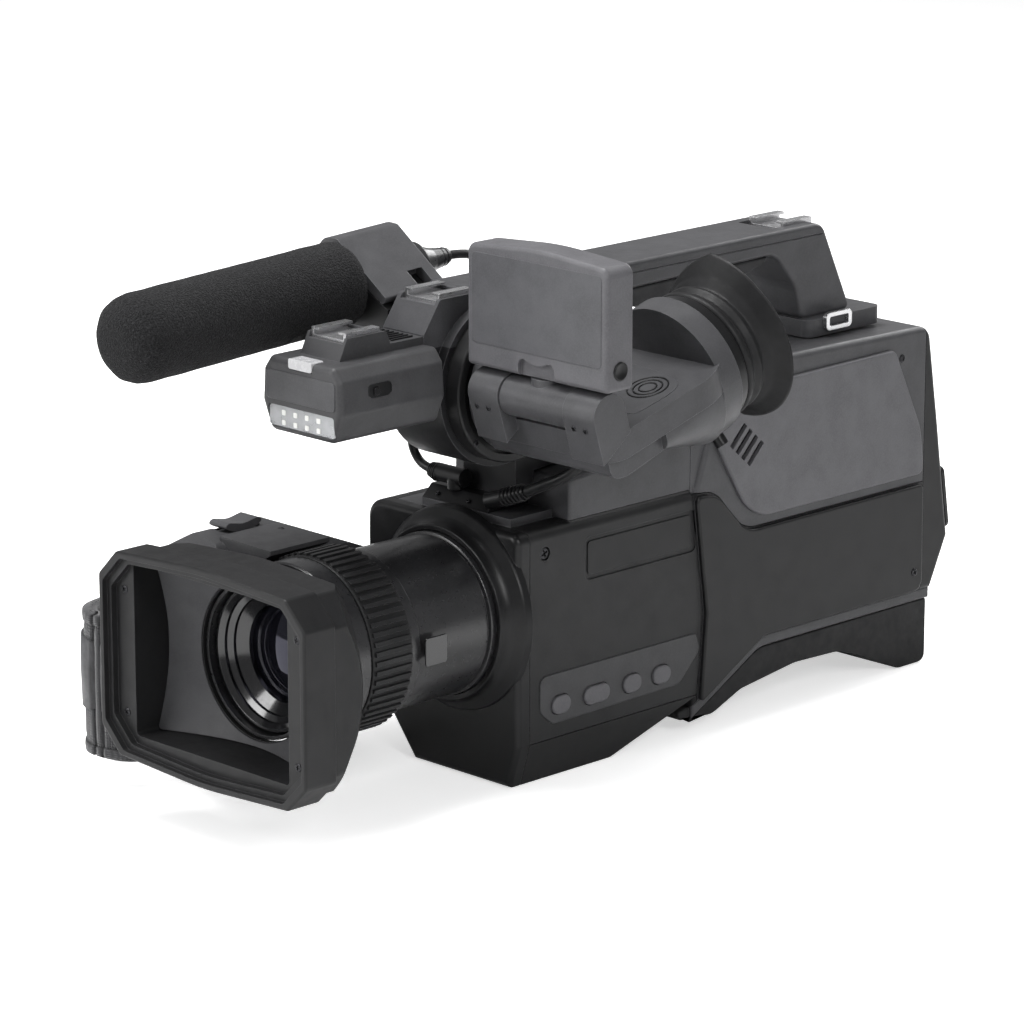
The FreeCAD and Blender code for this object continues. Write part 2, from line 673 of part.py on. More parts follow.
def hood_shell():
    """The lens hood: a thin lip around a sunk frame, a rectangular tunnel, and a rear half that tapers to a collar."""
    front, rear, frame = dim.hood_front, dim.hood_rear, dim.hood_frame_y
    step = front + 17.5
    head = new_body("hood_head", node=False)
    pad(head, "Y", front, step, hood_outline(0))
    round_edges(head, 1.2, edge_at("Y", front))
    pocket(head, "Y", front - 1, front + 2.8, hood_outline(dim.hood_lip))
    pocket(head, "Y", front + 1, frame, hood_outline(dim.hood_lip + 2.6))
    tail = new_body("hood_tail", node=False)
    pad(tail, "Y", step - 0.5, rear, hood_outline(2))
    taper = doc.addObject("Part::Cone", "hood_taper")
    bind(taper, "Radius1", 79)
    bind(taper, "Radius2", 64)
    bind(taper, "Height", rear - step + 0.5)
    place_at(taper, 0, step - 0.5, dim.lens_height, ((1, 0, 0), -90))
    whole = gather("MultiFuse", "hood_joined", [head, combine("Common", "hood_tapered_tail", tail, taper)])
    half, low, high = dim.window_half_width, dim.window_bottom, dim.window_top
    tunnel = new_body("hood_tunnel", node=False)
    pad(tunnel, "Y", front - 1, rear - 3, rounded_box((-half, low), (half, high), 2))
    collar = cylinder("hood_collar", 36, 10, 0, rear - 8, dim.lens_height, "Y")
    combine("Cut", "hood_shell", whole, gather("MultiFuse", "hood_cutters", [tunnel, collar]), node=True)


def hood_baffle():
    """The light trap inside the hood: a block with a round funnel that opens towards the front."""
    half, low, high = dim.window_half_width - 0.3, dim.window_bottom + 0.3, dim.window_top - 0.3
    block = new_body("baffle_block", node=False)
    pad(block, "Y", dim.hood_rear - 20, dim.hood_rear - 3.3, rounded_box((-half, low), (half, high), 2))
    cone = doc.addObject("Part::Cone", "baffle_cone")
    bind(cone, "Radius1", 68)
    bind(cone, "Radius2", dim.filter_radius + 2.8)
    bind(cone, "Height", 18)
    place_at(cone, 0, dim.hood_rear - 21, dim.lens_height, ((1, 0, 0), -90))
    hole = cylinder("baffle_hole", dim.filter_radius + 2.8, 10, 0, dim.hood_rear - 8, dim.lens_height, "Y")
    combine("Cut", "hood_baffle", block, gather("MultiFuse", "baffle_cutters", [cone, hole]), node=True)


# ---------------------------------------------------------------- handle
SHOES = {"front": (-125.4, 213.6), "middle": (-69.6, 222.6), "rear": (155.5, 223.6)}


def shoe_bed(body, label, top):
    """The shallow bed that a cold shoe is let into."""
    y, z = SHOES[label]
    half = dim.shoe_width / 2 + 0.05
    pocket(body, "Z", z - 0.05, top + 5, box((-half, y - 8), (half, y + dim.shoe_length + 0.1)))


def handle():
    """The carry handle: a round boss and leg in front, a straight bar, and a slanted rear leg."""
    body = new_body("handle")
    half, top, y, z = dim.handle_half, dim.handle_top, dim.boss_y, dim.boss_z
    block_top = dim.casing_top + dim.block_rise
    pad(body, "X", -half, half,
        [(y - 14, 205), (y - 12, top, 3), (176, top, 8), (197.5, 181, 3), (162, 181, 4), (157, 198, 14),
         (143, 215, 14), (10, 212.5, 12), (y + 20, 204)])
    for side in (-half, half):
        round_edges(body, 2, edge_at("X", side))
    pad(body, "X", -half + 5, half - 5, [(y - 43, 210.6), (y - 33, top - 1, 2), (y, top - 1), (y, 196), (y - 43, 196)])
    pad(body, "X", -half, half, circle(y, z, dim.boss_radius))
    pad(body, "X", -half + 2, half - 0.5,
        [(y + 9, block_top), (y + 20.3, block_top), (y + 20.3, dim.deck_low + 1),
         (77.5, dim.deck_high + 1), (60, dim.deck_high + 7, 8), (12, dim.deck_low + 18, 30), (y + 34, z - 10),
         (y + 9, z - 20)])
    pad(body, "Z", dim.rear_top + 0.05, dim.rear_top + 8.4, rounded_box((-24, 160), (24, 213), 5))
    for label in ("middle", "rear"):
        shoe_bed(body, label, top)
    pocket(body, "X", half - 6, half + 1, circle(y, z, 12.05))
    pocket(body, "X", half - 0.6, half + 1, box((y, 220.4), (176, 221.2)))
    pocket(body, "X", -half - 1, -half + 0.6, box((y, 220.4), (176, 221.2)))


def handle_grip():
    """The rubber underside of the handle bar, with a raised stop for the fingers."""
    body = new_body("handle_grip")
    half = dim.handle_half - 2.5
    pad(body, "X", -half, half,
        [(26, 212.4), (26, 209), (33, 204, 5), (54, 204, 6), (63, 199.5, 4), (72, 205.5, 5), (124, 208, 20),
         (138, 211), (140, 214.4)])
    for side in (-half, half):
        round_edges(body, 1.2, edge_at("X", side))


def strap_loops():
    """Two fixed metal loops for a shoulder strap, one each side of the rear foot."""
    loops = []
    for side, x in (("left", 24.3), ("right", -26.7)):
        body = new_body(f"{side}_strap_loop", node=False)
        pad(body, "X", x, x + 2.4, rounded_box((170, 175.5), (188, 184), 2.4))
        pocket(body, "X", x - 1, x + 4, rounded_box((172.2, 177.5), (185.8, 182), 1))
        loops.append(body)
    gather("Compound", "strap_loops", loops, node=True)




def cold_shoes():
    """Three cold shoes: a plate with two lips that an accessory foot slides under."""
    half, lip, thick = dim.shoe_width / 2, 6.2, dim.shoe_plate
    shoes = []
    for label, (y, z) in SHOES.items():
        body = new_body(f"{label}_shoe", node=False)
        z = as_size(z)
        pad(body, "Y", y, y + dim.shoe_length,
            [(-half, z), (half, z), (half, z + 4.4), (lip, z + 4.4), (lip, z + 3.4), (9.35, z + 3.4),
             (9.35, z + thick), (-9.35, z + thick), (-9.35, z + 3.4), (-lip, z + 3.4), (-lip, z + 4.4),
             (-half, z + 4.4)])
        shoes.append(body)
    gather("Compound", "cold_shoes", shoes, node=True)


# ---------------------------------------------------------------- light head
def light_housing():
    """The video light: a faceted head with a raised shoe block and a sunk lamp window."""
    body = new_body("light_housing")
    half, front, rear = dim.light_half, dim.light_front, dim.light_rear
    low, top, deck = dim.light_bottom, dim.light_top, dim.light_deck
    pad(body, "Y", front, rear, [(half - 5, low, 4), (half + 0.6, low + 13, 4), (half - 0.4, top - 6, 3),
                                 (half - 5, top, 3), (-half + 5, top, 3), (-half + 0.4, top - 6, 3),
                                 (-half - 0.6, low + 13, 4), (-half + 5, low, 4)])
    round_edges(body, 3, edge_at("Y", front))
    pad(body, "X", -12.5, 12.5, [(front + 11, top - 1), (front + 16, deck + 6), (front + 39, deck + 6, 1.5),
                                 (front + 41.5, deck), (rear, deck), (rear, top - 1)])
    shoe_bed(body, "front", deck + 6)
    lamp = rounded_box((-half + 4, low + 2.4), (half - 4, low + 12), 1.5)
    pocket(body, "Y", front - 1, front + 12, lamp)
    pocket(body, "Y", front - 1, front + 7, box((-7.6, top - 4.2), (7.6, top + 1)))
    pocket(body, "X", half - 5, half + 3, rounded_box((-125, 191.4), (-112, 197), 2.4))
    pocket(body, "Y", front + 14, rear - 4, rounded_box((-half + 5, low + 4), (half - 6, top - 4), 2))


def light_parts():
    """The diffusing window, the lamp board with two rows of lamps, the tally lamp and the slide switch."""
    half, front, low, top = dim.light_half, dim.light_front, dim.light_bottom, dim.light_top
    window = new_body("light_window")
    pad(window, "Y", front + 0.6, front + 2.4, rounded_box((-half + 4.2, low + 2.6), (half - 4.2, low + 11.8), 1.4))
    board = new_body("light_board")
    pad(board, "Y", front + 6, front + 7.4, rounded_box((-half + 4.4, low + 2.8), (half - 4.4, low + 11.6), 1.2))
    lamps = [circle(-12 + column * 8, low + 4.9 + row * 4.6, 1.5) for row in range(2) for column in range(4)]
    pad(board, "Y", front + 4.6, front + 6.1, *lamps)
    tally = new_body("tally_lamp")
    pad(tally, "Y", front - 0.3, front + 6.8, rounded_box((-7.4, top - 4), (7.4, top + 0.5), 1))
    switch = new_body("light_switch")
    pad(switch, "X", half - 4.8, half - 0.6, rounded_box((-124.6, 191.7), (-117, 196.7), 1.5))
    pad(switch, "X", half - 0.7, half + 1, rounded_box((-122.4, 192.6), (-119.2, 195.8), 1))


# ---------------------------------------------------------------- microphone
def microphone_frame(body, y=0, z=0):
    """Place a body in the microphone's own frame, nose a little down, with an offset along it."""
    angle = math.radians(dim.mic_dip.value)
    along = (y * math.cos(angle) - z * math.sin(angle), y * math.sin(angle) + z * math.cos(angle))
    place_at(body, dim.mic_x, dim.mic_y + along[0], dim.mic_z + along[1], ((1, 0, 0), dim.mic_dip))


def microphone():
    """The gun microphone and the foam windscreen pulled over its front."""
    mic = new_body("microphone")
    radius = dim.mic_radius
    turn(mic, [(-138, 0), (-138, radius - 1), (-137, radius), (24, radius, 1.5), (26, radius - 2.5, 1),
               (33, 5.6, 1), (44, 3.6, 0.5), (44, 0)])
    microphone_frame(mic)
    foam = new_body("windscreen")
    turn(foam, [(-152, 0), (-152, dim.foam_radius, 9), (-21, dim.foam_radius, 4), (-21, radius + 0.05),
                (-138.1, radius + 0.05), (-138.1, 0)])
    microphone_frame(foam)


def microphone_holder():
    """The lower half of the clamp with its arm, and the hinged upper half."""
    radius, bore = dim.holder_radius, dim.mic_radius + 0.05
    lower = new_body("mic_holder")
    pad(lower, "Y", -19, 18, [(-radius, -0.4), (-radius, -13, 13), (-9, -radius, 12), (22, -radius, 2),
                              (27, -16, 2), (27, -8.6), (12, -0.4)])
    pocket(lower, "Y", -25, 25, circle(0, 0, bore))
    microphone_frame(lower)
    upper = new_body("mic_clamp")
    pad(upper, "Y", -19, 18, [(-radius, 0), (-radius + 2, 12, 9), (-12, radius - 2, 8), (-4, radius - 2.2, 3),
                              (26.2, -3.4, 1.2), (25, -7.2, 2), (13, 0)])
    pocket(upper, "Y", -25, 25, circle(0, 0, bore))
    pocket(upper, "Y", 3, 12, box((13, -8), (28, 3.4)))
    microphone_frame(upper)


# ---------------------------------------------------------------- viewfinder
def tilted(x, y, z):
    """A point of the viewfinder's own frame, about the pivot, in the whole camera's frame."""
    angle = math.radians(dim.tilt.value)
    return (x, dim.boss_y + y * math.cos(angle) - z * math.sin(angle),
            dim.boss_z + y * math.sin(angle) + z * math.cos(angle))


def finder_frame(body, x=0, y=0, z=0):
    place_at(body, *tilted(x, y, z), ((1, 0, 0), dim.tilt))


def finder_bracket():
    """The fixed ring plate on the handle boss that the viewfinder turns against."""
    body = new_body("finder_bracket")
    half = dim.handle_half
    pad(body, "X", half + 0.05, half + 8.5, circle(0, 0, dim.ring_plate_radius))
    round_edges(body, 1.2, edge_at("X", half + 8.5))
    pocket(body, "X", half + 5.5, half + 9, circle(0, 0, 31))
    pocket(body, "X", half - 1, half + 9, circle(0, 0, 12.05))
    finder_frame(body)


def finder_body():
    """The viewfinder: a round hub on the pivot, a flat deck, two hinge knuckles and the eyepiece housing."""
    body = new_body("finder_body")
    left, right, deck, belly = dim.finder_left, dim.finder_right, dim.finder_deck, dim.finder_belly
    front, rear, eye, drop = dim.finder_front, dim.finder_rear, dim.eye_x, dim.eye_drop
    pad(body, "Z", belly + 6, deck, [(right, front), (left - 3, front, 9), (left, rear - 6, 30), (left - 6, rear + 4),
                                     (right + 4, rear + 4), (right, rear - 30)])
    pad(body, "X", right, left - 9, [(front + 1.5, belly + 7), (front + 1.5, belly - 3, 6), (front + 10, belly - 5.5, 12),
                                     (6, belly - 5), (6, belly + 7)])
    loft_belly(body)
    pad(body, "Y", rear, rear + 12, circle(eye, drop, dim.eye_radius))
    pad(body, "X", dim.handle_half + 8.9, right - 1, circle(0, 0, 29))
    pad(body, "X", right - 2, right + 1, [(-24, deck - 0.7), (24, deck - 0.7), (22, belly), (-22, belly)])
    pad(body, "X", dim.handle_half - 5.5, dim.handle_half + 9, circle(0, 0, 12))
    y, z, radius = dim.hinge_y, dim.hinge_z, dim.knuckle_radius
    for low, high in ((right + 4, right + 22), (left - 20.5, left - 1.5)):
        pad(body, "X", low, high, [(y - radius, deck - 8), (y - radius, z + radius, 9), (y + radius, z + radius, 9),
                                   (y + radius, deck - 1)])
    for low, high in ((right + 20, right + 25), (left - 23.5, left - 18)):
        pad(body, "X", low, high, circle(y, z, dim.pin_radius))
    pocket(body, "Y", rear + 5, rear + 14, circle(eye, drop, 27))
    finder_frame(body)


def loft_belly(body):
    """The underside swells from the flat deck down to the round eyepiece."""
    left, right, eye, drop = dim.finder_left, dim.finder_right, dim.eye_x, dim.eye_drop
    belly, width = dim.finder_belly, dim.eye_radius - 0.6
    near = new_sketch(body, "Y", 4, [[(right + 6, 0), (right + 6, belly - 5, 6), (left - 5, belly - 5, 6),
                                      (left - 5, 0)]])
    far = new_sketch(body, "Y", dim.finder_rear + 0.5,
                     [[(eye - width, 0), (eye - width, drop - width, 29), (eye + width, drop - width, 29),
                       (eye + width, 0)]])
    loft = body.newObject("PartDesign::AdditiveLoft", "belly")
    loft.Profile = near
    loft.Sections = [far]
    loft.Ruled = True
    body.Tip = loft


def eyepiece():
    """The focus ring and lens of the eyepiece, and its rubber cup with a horn that points up."""
    rear, radius = dim.finder_rear, dim.eye_radius
    tube = new_body("eyepiece_ring")
    turn(tube, [(rear + 12.3, 26), (rear + 12.3, radius - 1.6, 0.6), (rear + 19.5, radius - 3, 1), (rear + 19.5, 29),
                (rear + 23.7, 29), (rear + 23.7, 26)])
    finder_frame(tube, dim.eye_x.value, 0, dim.eye_drop.value)
    lens = new_body("eyepiece_lens")
    turn(lens, [(rear + 7, 0), (rear + 7, 24), (rear + 11, 24), (rear + 14, 10, 20), (rear + 14.4, 0)])
    finder_frame(lens, dim.eye_x.value, 0, dim.eye_drop.value)
    cup = new_body("eyecup")
    outer = radius - 3
    rim = 52
    turn(cup, [(rear + 19.9, 29.1), (rear + 19.9, outer, 0.6), (rear + 27, outer - 2, 2), (rear + 35, outer, 1.4),
               (rear + 50, rim), (rear + 51.6, rim - 1.4), (rear + 36, outer - 4, 1), (rear + 24, outer - 4),
               (rear + 24, 29.1)])
    pocket(cup, "X", -rim - 5, rim + 5, [(rear + 41, -rim - 5), (rear + 56, -rim - 5), (rear + 56, rim + 5),
                                         (rear + 50.4, rim - 3), (rear + 41, rim - 26)])
    finder_frame(cup, dim.eye_x.value, 0, dim.eye_drop.value)
    lever = new_body("focus_lever")
    pad(lever, "Z", -dim.eye_radius - 5, -dim.eye_radius - 0.3, circle(0, rear + 6, 3))
    finder_frame(lever, dim.eye_x.value, 0, dim.eye_drop.value)
    lever.Placement = lever.Placement.multiply(Placement(Vector(), Rotation(Vector(0, 1, 0), -30)))


# ---------------------------------------------------------------- display panel
def panel_frame(body, x=0, y=0, z=0):
    """Upright frame at the middle of the display hinge."""
    _, hinge_y, hinge_z = tilted(0, dim.hinge_y.value, dim.hinge_z.value)
    place_at(body, dim.panel_x + x, hinge_y + y, hinge_z + z)


def display():
    """The hinge barrel with its swivel neck, the display housing and the screen that faces the operator."""
    hinge = new_body("display_hinge")
    half = (dim.finder_left - dim.finder_right - 43.2) / 2
    pad(hinge, "X", -half, half, circle(0, 0, dim.knuckle_radius - 0.6))
    pocket(hinge, "X", -half - 1, -half + 4, circle(0, 0, dim.pin_radius + dim.running_fit))
    pocket(hinge, "X", half - 4, half + 1, circle(0, 0, dim.pin_radius + dim.running_fit))
    pad(hinge, "Z", 2, dim.panel_lift - 0.4, circle(0, 1.8, 7.5))
    panel_frame(hinge)
    panel = new_body("display_panel")
    width, low, high = dim.panel_width / 2, dim.panel_lift, dim.panel_lift + dim.panel_height
    front, rear = 1.9 - dim.panel_thickness / 2, 1.9 + dim.panel_thickness / 2
    pad(panel, "Y", front, rear, [(-width, low, 2), (width, low, 2), (width, high, 5), (0, high + 3, 180),
                                  (-width, high, 5)])
    round_edges(panel, 2.2, edge_at("Y", front))
    round_edges(panel, 1.2, edge_at("Y", rear))
    pocket(panel, "Y", rear - 1.6, rear + 1, rounded_box((-width + 7, low + 8), (width - 7, high - 5), 1.5))
    pocket(panel, "Y", front - 1, front + 2.4, [(-11, low - 1), (11, low - 1), (11, low + 9, 3), (0, low + 4.6, 14),
                                                (-11, low + 9, 3)])
    panel_frame(panel)
    screen = new_body("display_screen")
    pad(screen, "Y", rear - 1.5, rear - 0.5, rounded_box((-width + 7.3, low + 8.3), (width - 7.3, high - 5.3), 1.3))
    panel_frame(screen)


# ---------------------------------------------------------------- grip
def grip_outline():
    inner, outer, top, low = dim.grip_inner, dim.grip_outer, dim.grip_top, dim.grip_bottom
    return [(inner, low + 14), (inner, top - 14), (inner - 6, top - 3, 6), (inner - 24, top, 8), (outer + 7, top - 14, 16),
            (outer, 66, 30), (outer + 10, low + 8, 14), (inner - 12, low, 10)]


def grip_housing():
    """The right-hand grip beside the lens: a short dome in front that slopes down to the casing behind it."""
    body = new_body("grip_housing")
    front, rear, top = dim.grip_front, dim.grip_rear, dim.grip_top
    dome_front, dome_rear = front + 16, front + 52
    pad(body, "Y", front, rear, grip_outline())
    round_edges(body, 6, edge_at("Y", front))
    pad(body, "Y", front + 17, dome_rear, [(-56, 98), (-56, top), (-22, top - 0.6), (-22, top - 2.6), (-40, 105)])
    outer, inner = dim.grip_outer - 2, dim.grip_inner + 30
    pocket(body, "X", outer, inner, [(front - 1, 104), (front - 1, top + 1), (dome_front, top + 1), (dome_front, top)])
    pocket(body, "X", outer, inner, [(dome_rear, top), (dome_rear, top + 1), (rear + 1, top + 1), (rear + 1, 79)])
    pocket(body, "Y", dim.casing_front - 0.4, rear + 1,
           box((dim.casing_right - 0.35, 0), (dim.grip_inner + 1, 130)))
    pocket(body, "Y", dim.casing_front - 4, dim.casing_front + 1, circle(0, dim.lens_height, dim.flange_radius + 2.4))
    pocket(body, "Z", top - 3.4, top + 2, rounded_box((-73.5, -134), (-60.5, -110), 6))
    pocket(body, "Y", rear - 5, rear + 1, circle(dim.record_x, dim.record_z, 8.3))


def grip_controls():
    """The zoom rocker on top of the grip and the red-ringed record button behind it."""
    rocker = new_body("zoom_rocker")
    y, z = -122, dim.grip_top - 0.4
    pad(rocker, "X", -72.8, -61.2, [(y - 11.2, z + 1.4, 1), (y - 9, z + 3.4, 3), (y, z + 1.6, 14), (y + 9, z + 3.4, 3),
                                    (y + 11.2, z + 1.4, 1), (y + 8, z - 0.4, 2), (y, z - 2.6, 3), (y - 8, z - 0.4, 2)])
    button = new_body("record_button")
    pad(button, "Y", dim.grip_rear - 2.8, dim.grip_rear + 1.6, circle(dim.record_x, dim.record_z, 8))
    round_edges(button, 0.8, edge_at("Y", dim.grip_rear + 1.6))


def hand_strap():
    """The padded strap from the front of the grip round the back of the hand to the rear of the grip."""
    body = new_body("hand_strap")
    front, rear, outer = dim.grip_front, dim.grip_rear, dim.grip_outer
    low, high = 10, 80
    pad(body, "Z", low, high,
        [(outer + 14, front - 0.6), (outer + 14, front - 8, 4), (outer - 14, front - 14, 12),
         (outer - 28, front + 12, 12), (outer - 27, front + 60, 60), (outer - 22, rear - 36, 40),
         (outer - 6, rear - 8, 4), (outer - 0.6, rear - 5), (outer - 0.6, rear - 18, 4),
         (outer - 15, rear - 42, 24), (outer - 20, front + 60, 50), (outer - 19, front + 14, 8),
         (outer - 9, front - 0.6, 6)])
    for level in (low, high):
        round_edges(body, 2, edge_at("Z", level))


# ---------------------------------------------------------------- shoulder rest
def shoulder_rest():
    """The grey rim under the rear of the casing and the soft arched pad below it."""
    half, belly, rise = dim.pad_half, dim.rear_belly, dim.rim_height
    front, rear = dim.seam_rear + 3, dim.rear_end - 6
    rim = new_body("shoulder_rim")
    top, low = belly - 0.3, belly - 0.3 - rise
    pad(rim, "X", -half, half, [(front, 13.6), (front + 45.5, top), (rear, top), (rear, low), (front + 46.5, low, 18),
                                (front, 13.6 - rise - 0.5)])
    round_edges(rim, 1.2, edge_at("X", half))
    round_edges(rim, 1.2, edge_at("X", -half))
    soft = new_body("shoulder_pad")
    pad(soft, "X", -half + 1, half - 1,
        [(front - 9, 12, 3), (front - 0.6, 13), (front - 0.4, 6.6), (front + 46.6, low - 0.6, 18),
         (rear - 1, low - 0.3), (rear - 1, 0, 5), (rear - 21, 0, 12), (176, 18, 36), (142, 19, 36), (104, 14, 16),
         (84, 6, 12), (front - 8, 7.6, 4)])


# ---------------------------------------------------------------- cables
CABLE_ROUTES = {
    "mic_cable": [(-45, -11.06, 227.8), (-45, 1.5, 227.6), (-44, 13, 222.5), (-41.5, 23, 213), (-38, 30.5, 201),
                  (-33.5, 36.5, 188), (-29.5, 40, 174), (-28, 41, 159)],
    "light_cable": [(-20, -81, 181), (-21, -72, 180), (-24.5, -63, 175), (-29, -54, 168), (-33.8, -46.1, 159.7),
                    (-38, -40.9, 152.3), (-40.4, -38.1, 146.4), (-40.2, -36.9, 141.6), (-38, -36.2, 137.8),
                    (-34.6, -35.8, 135.4), (-30.5, -35.6, 134.7)],
    "finder_cable": [(31, -35.5, 135), (42, -34, 140.2), (52, -31.2, 145.2), (58.6, -28.6, 151.5),
                     (61.6, -27.3, 159), (62, -27, 165.8)],
}


def rounded_path(points):
    """Straight runs joined by tangent arcs as large as the runs allow: the wire and its smallest radius."""
    points = [Vector(*point) for point in points]
    edges, radii, start = [], [], points[0]
    for before, here, after in zip(points, points[1:], points[2:]):
        back, ahead = (before - here), (after - here)
        turn_angle = math.pi - back.getAngle(ahead)
        cut = 0.45 * min(back.Length, ahead.Length)
        radius = cut / math.tan(turn_angle / 2)
        entry, leave = here + back.normalize() * cut, here + ahead.normalize() * cut
        inward = (back + ahead).normalize()
        through = here + inward * (radius / math.cos(turn_angle / 2) - radius)
        edges += [Part.LineSegment(start, entry).toShape(), Part.Arc(entry, through, leave).toShape()]
        radii.append(radius)
        start = leave
    edges.append(Part.LineSegment(start, points[-1]).toShape())
    return Part.Wire(edges), min(radii)


def cables():
    """Three short leads, each a round tube along its route."""
    radii = {"mic_cable": dim.cable_radius, "light_cable": dim.cable_radius, "finder_cable": dim.thick_cable_radius}
    for label, route in CABLE_ROUTES.items():
        path, tightest = rounded_path(route)
        radius = radii[label].value
        start = Vector(*route[0])
        section = Part.Wire(Part.Circle(start, Vector(*route[1]) - start, radius).toShape())
        tube = doc.addObject("Part::Feature", label)
        tube.Label = label
        tube.Shape = path.makePipeShell([section], True, True)
        tube.Placement = Placement()
        NODES[label] = tube
        expected = math.pi * radius ** 2 * path.Length
        print(f"{label}: {path.Length:.1f} mm long, tightest bend {tightest:.1f} mm,"
              f" volume {tube.Shape.Volume:.0f} of {expected:.0f}")


def strain_relief(label, start, end, thick, thin):
    """A tapered sleeve from a plug or a block to the point where its lead comes out."""
    start, end = Vector(*start), Vector(*end)
    relief = doc.addObject("Part::Cone", label)
    bind(relief, "Radius1", thick)
    bind(relief, "Radius2", thin)
    bind(relief, "Height", (end - start).Length)
    relief.Placement = Placement(start, Rotation(Vector(0, 0, 1), end - start))
    return relief


def cable_fittings():
    """The connector block on the deck with the viewfinder lead's strain relief, and the two plugs."""
    front, top = dim.casing_front + 8.4, dim.casing_top + 3.7
    block_top, post_radius = dim.casing_top + dim.block_rise, 4.2
    block = new_body("connector_block", node=False)
    pad(block, "X", -30, 12, [(front, top), (front + 1, top + 0.8), (front + 6, block_top, 1),
                              (dim.deck_front - 0.4, block_top), (dim.deck_front - 0.4, top)])
    relief = strain_relief("finder_relief", (10, -38.2, 127.4), CABLE_ROUTES["finder_cable"][0],
                           post_radius, dim.thick_cable_radius + 0.7)
    gather("MultiFuse", "cable_clamp", [block, relief], node=True)
    bar = cylinder("light_plug_bar", post_radius, 18, -26.5, -35, 134, "X")
    post = cylinder("light_plug_post", post_radius, 134 - block_top.value, -14.5, -35, block_top)
    outlet = strain_relief("light_relief", (-24.5, -35.2, 133.7), CABLE_ROUTES["light_cable"][-1],
                           post_radius, dim.cable_radius + 0.7)
    light_plug = gather("MultiFuse", "light_plug", [bar, post, outlet])
    x, y, z = CABLE_ROUTES["mic_cable"][-1]
    mic_plug = cylinder("mic_plug", 4.6, z - 142.6, x, y, 142.6)
    gather("Compound", "cable_plugs", [light_plug, mic_plug], node=True)


def case_screws():
    """The visible screws of the fixed parts, as one group of separate heads."""
    left, frame, height = dim.casing_left, dim.hood_frame_y, dim.lens_height
    heads = [cylinder("cover_screw", 2.7, 0.9, left - 1.5, -32.6, 107.6, "X"),
             cylinder("rear_screw", 1.9, 0.5, dim.rear_left + dim.plate_rise + 0.05, 220, 50, "X"),
             cylinder("housing_screw", 1.9, 0.5, dim.rear_left + 0.05, 210, 158, "X")]
    for side in (-56, 56):
        for level in (48.5, 104.5):
            heads.append(cylinder("hood_screw", 1.9, 0.5, side, frame - 0.55, level, "Y"))
    for angle in (102.7, 222.7, 342.7):
        y = dim.boss_y + 33 * math.cos(math.radians(angle))
        z = dim.boss_z + 33 * math.sin(math.radians(angle))
        heads.append(cylinder("ring_screw", 1.5, 0.5, dim.handle_half + 8.55, y, z, "X"))
    gather("Compound", "case_screws", heads, node=True)


# ---------------------------------------------------------------- assembly
def build():
    shell = casing_shell()
    front_casing(shell)
    side_covers(shell)
    top_and_bottom(shell)
    rear_housing(shell)
    speaker_panel()
    battery_bay(shell)
    battery()
    battery_release()
    terminal_cover()
    button_panel()
    side_buttons()
    chassis_frame()
    circuit_boards()
    lens_barrel()
    manual_ring()
    lens_glass()
    hood_shell()
    hood_baffle()
    handle()
    handle_grip()
    strap_loops()
    cold_shoes()
    light_housing()
    light_parts()
    microphone()
    microphone_holder()
    finder_bracket()
    finder_body()
    eyepiece()
    display()
    grip_housing()
    grip_controls()
    hand_strap()
    shoulder_rest()
    cable_fittings()
    cables()
    case_screws()


def check_and_write():
    """Recompute, check every object and every sub-part, and write one STEP file per sub-part."""
    doc.recompute()
    faults = [f"{thing.Label} did not recompute" for thing in doc.Objects
              if "Invalid" in thing.State or "Error" in thing.State]
    for label, node in NODES.items():
        shape = node.Shape
        if shape.isNull() or not shape.isValid() or shape.Volume <= 0:
            faults.append(f"{label} has no valid shape")
    if faults:
        raise RuntimeError("; ".join(faults))
    os.makedirs("parts", exist_ok=True)
    for label, node in NODES.items():
        node.Shape.exportStep(os.path.join("parts", f"{label}.step"))
    print(f"{len(NODES)} sub-parts written")


build()
check_and_write()
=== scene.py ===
"""The looks of a shoulder camcorder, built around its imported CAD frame.

The lens looks along -Y, +X is the operator's left and +Z is up. Blender's own lengths are metres. The sizes
and places of the pieces made here are given in millimetres, and at() turns them into metres.
"""
import math

import bpy
from mathutils import Matrix, Vector, noise


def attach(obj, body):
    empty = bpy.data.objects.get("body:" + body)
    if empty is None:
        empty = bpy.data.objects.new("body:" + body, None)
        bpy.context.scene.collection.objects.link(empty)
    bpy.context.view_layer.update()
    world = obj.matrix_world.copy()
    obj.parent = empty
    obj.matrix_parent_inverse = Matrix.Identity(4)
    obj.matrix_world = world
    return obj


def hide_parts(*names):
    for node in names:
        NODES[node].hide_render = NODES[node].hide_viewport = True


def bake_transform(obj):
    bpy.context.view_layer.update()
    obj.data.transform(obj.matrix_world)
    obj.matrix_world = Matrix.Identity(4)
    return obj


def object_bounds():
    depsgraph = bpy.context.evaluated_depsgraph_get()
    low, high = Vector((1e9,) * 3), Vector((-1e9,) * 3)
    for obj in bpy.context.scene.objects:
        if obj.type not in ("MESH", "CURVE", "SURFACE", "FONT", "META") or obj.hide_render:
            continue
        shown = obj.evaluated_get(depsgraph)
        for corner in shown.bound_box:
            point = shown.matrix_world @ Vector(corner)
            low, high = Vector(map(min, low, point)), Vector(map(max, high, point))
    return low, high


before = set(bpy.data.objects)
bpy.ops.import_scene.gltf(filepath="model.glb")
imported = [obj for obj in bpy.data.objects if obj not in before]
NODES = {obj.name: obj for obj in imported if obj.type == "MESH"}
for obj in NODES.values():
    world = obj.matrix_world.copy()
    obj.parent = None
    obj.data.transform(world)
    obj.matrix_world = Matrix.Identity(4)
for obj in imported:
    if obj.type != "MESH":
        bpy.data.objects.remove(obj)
MM = 0.001
cad_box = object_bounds()

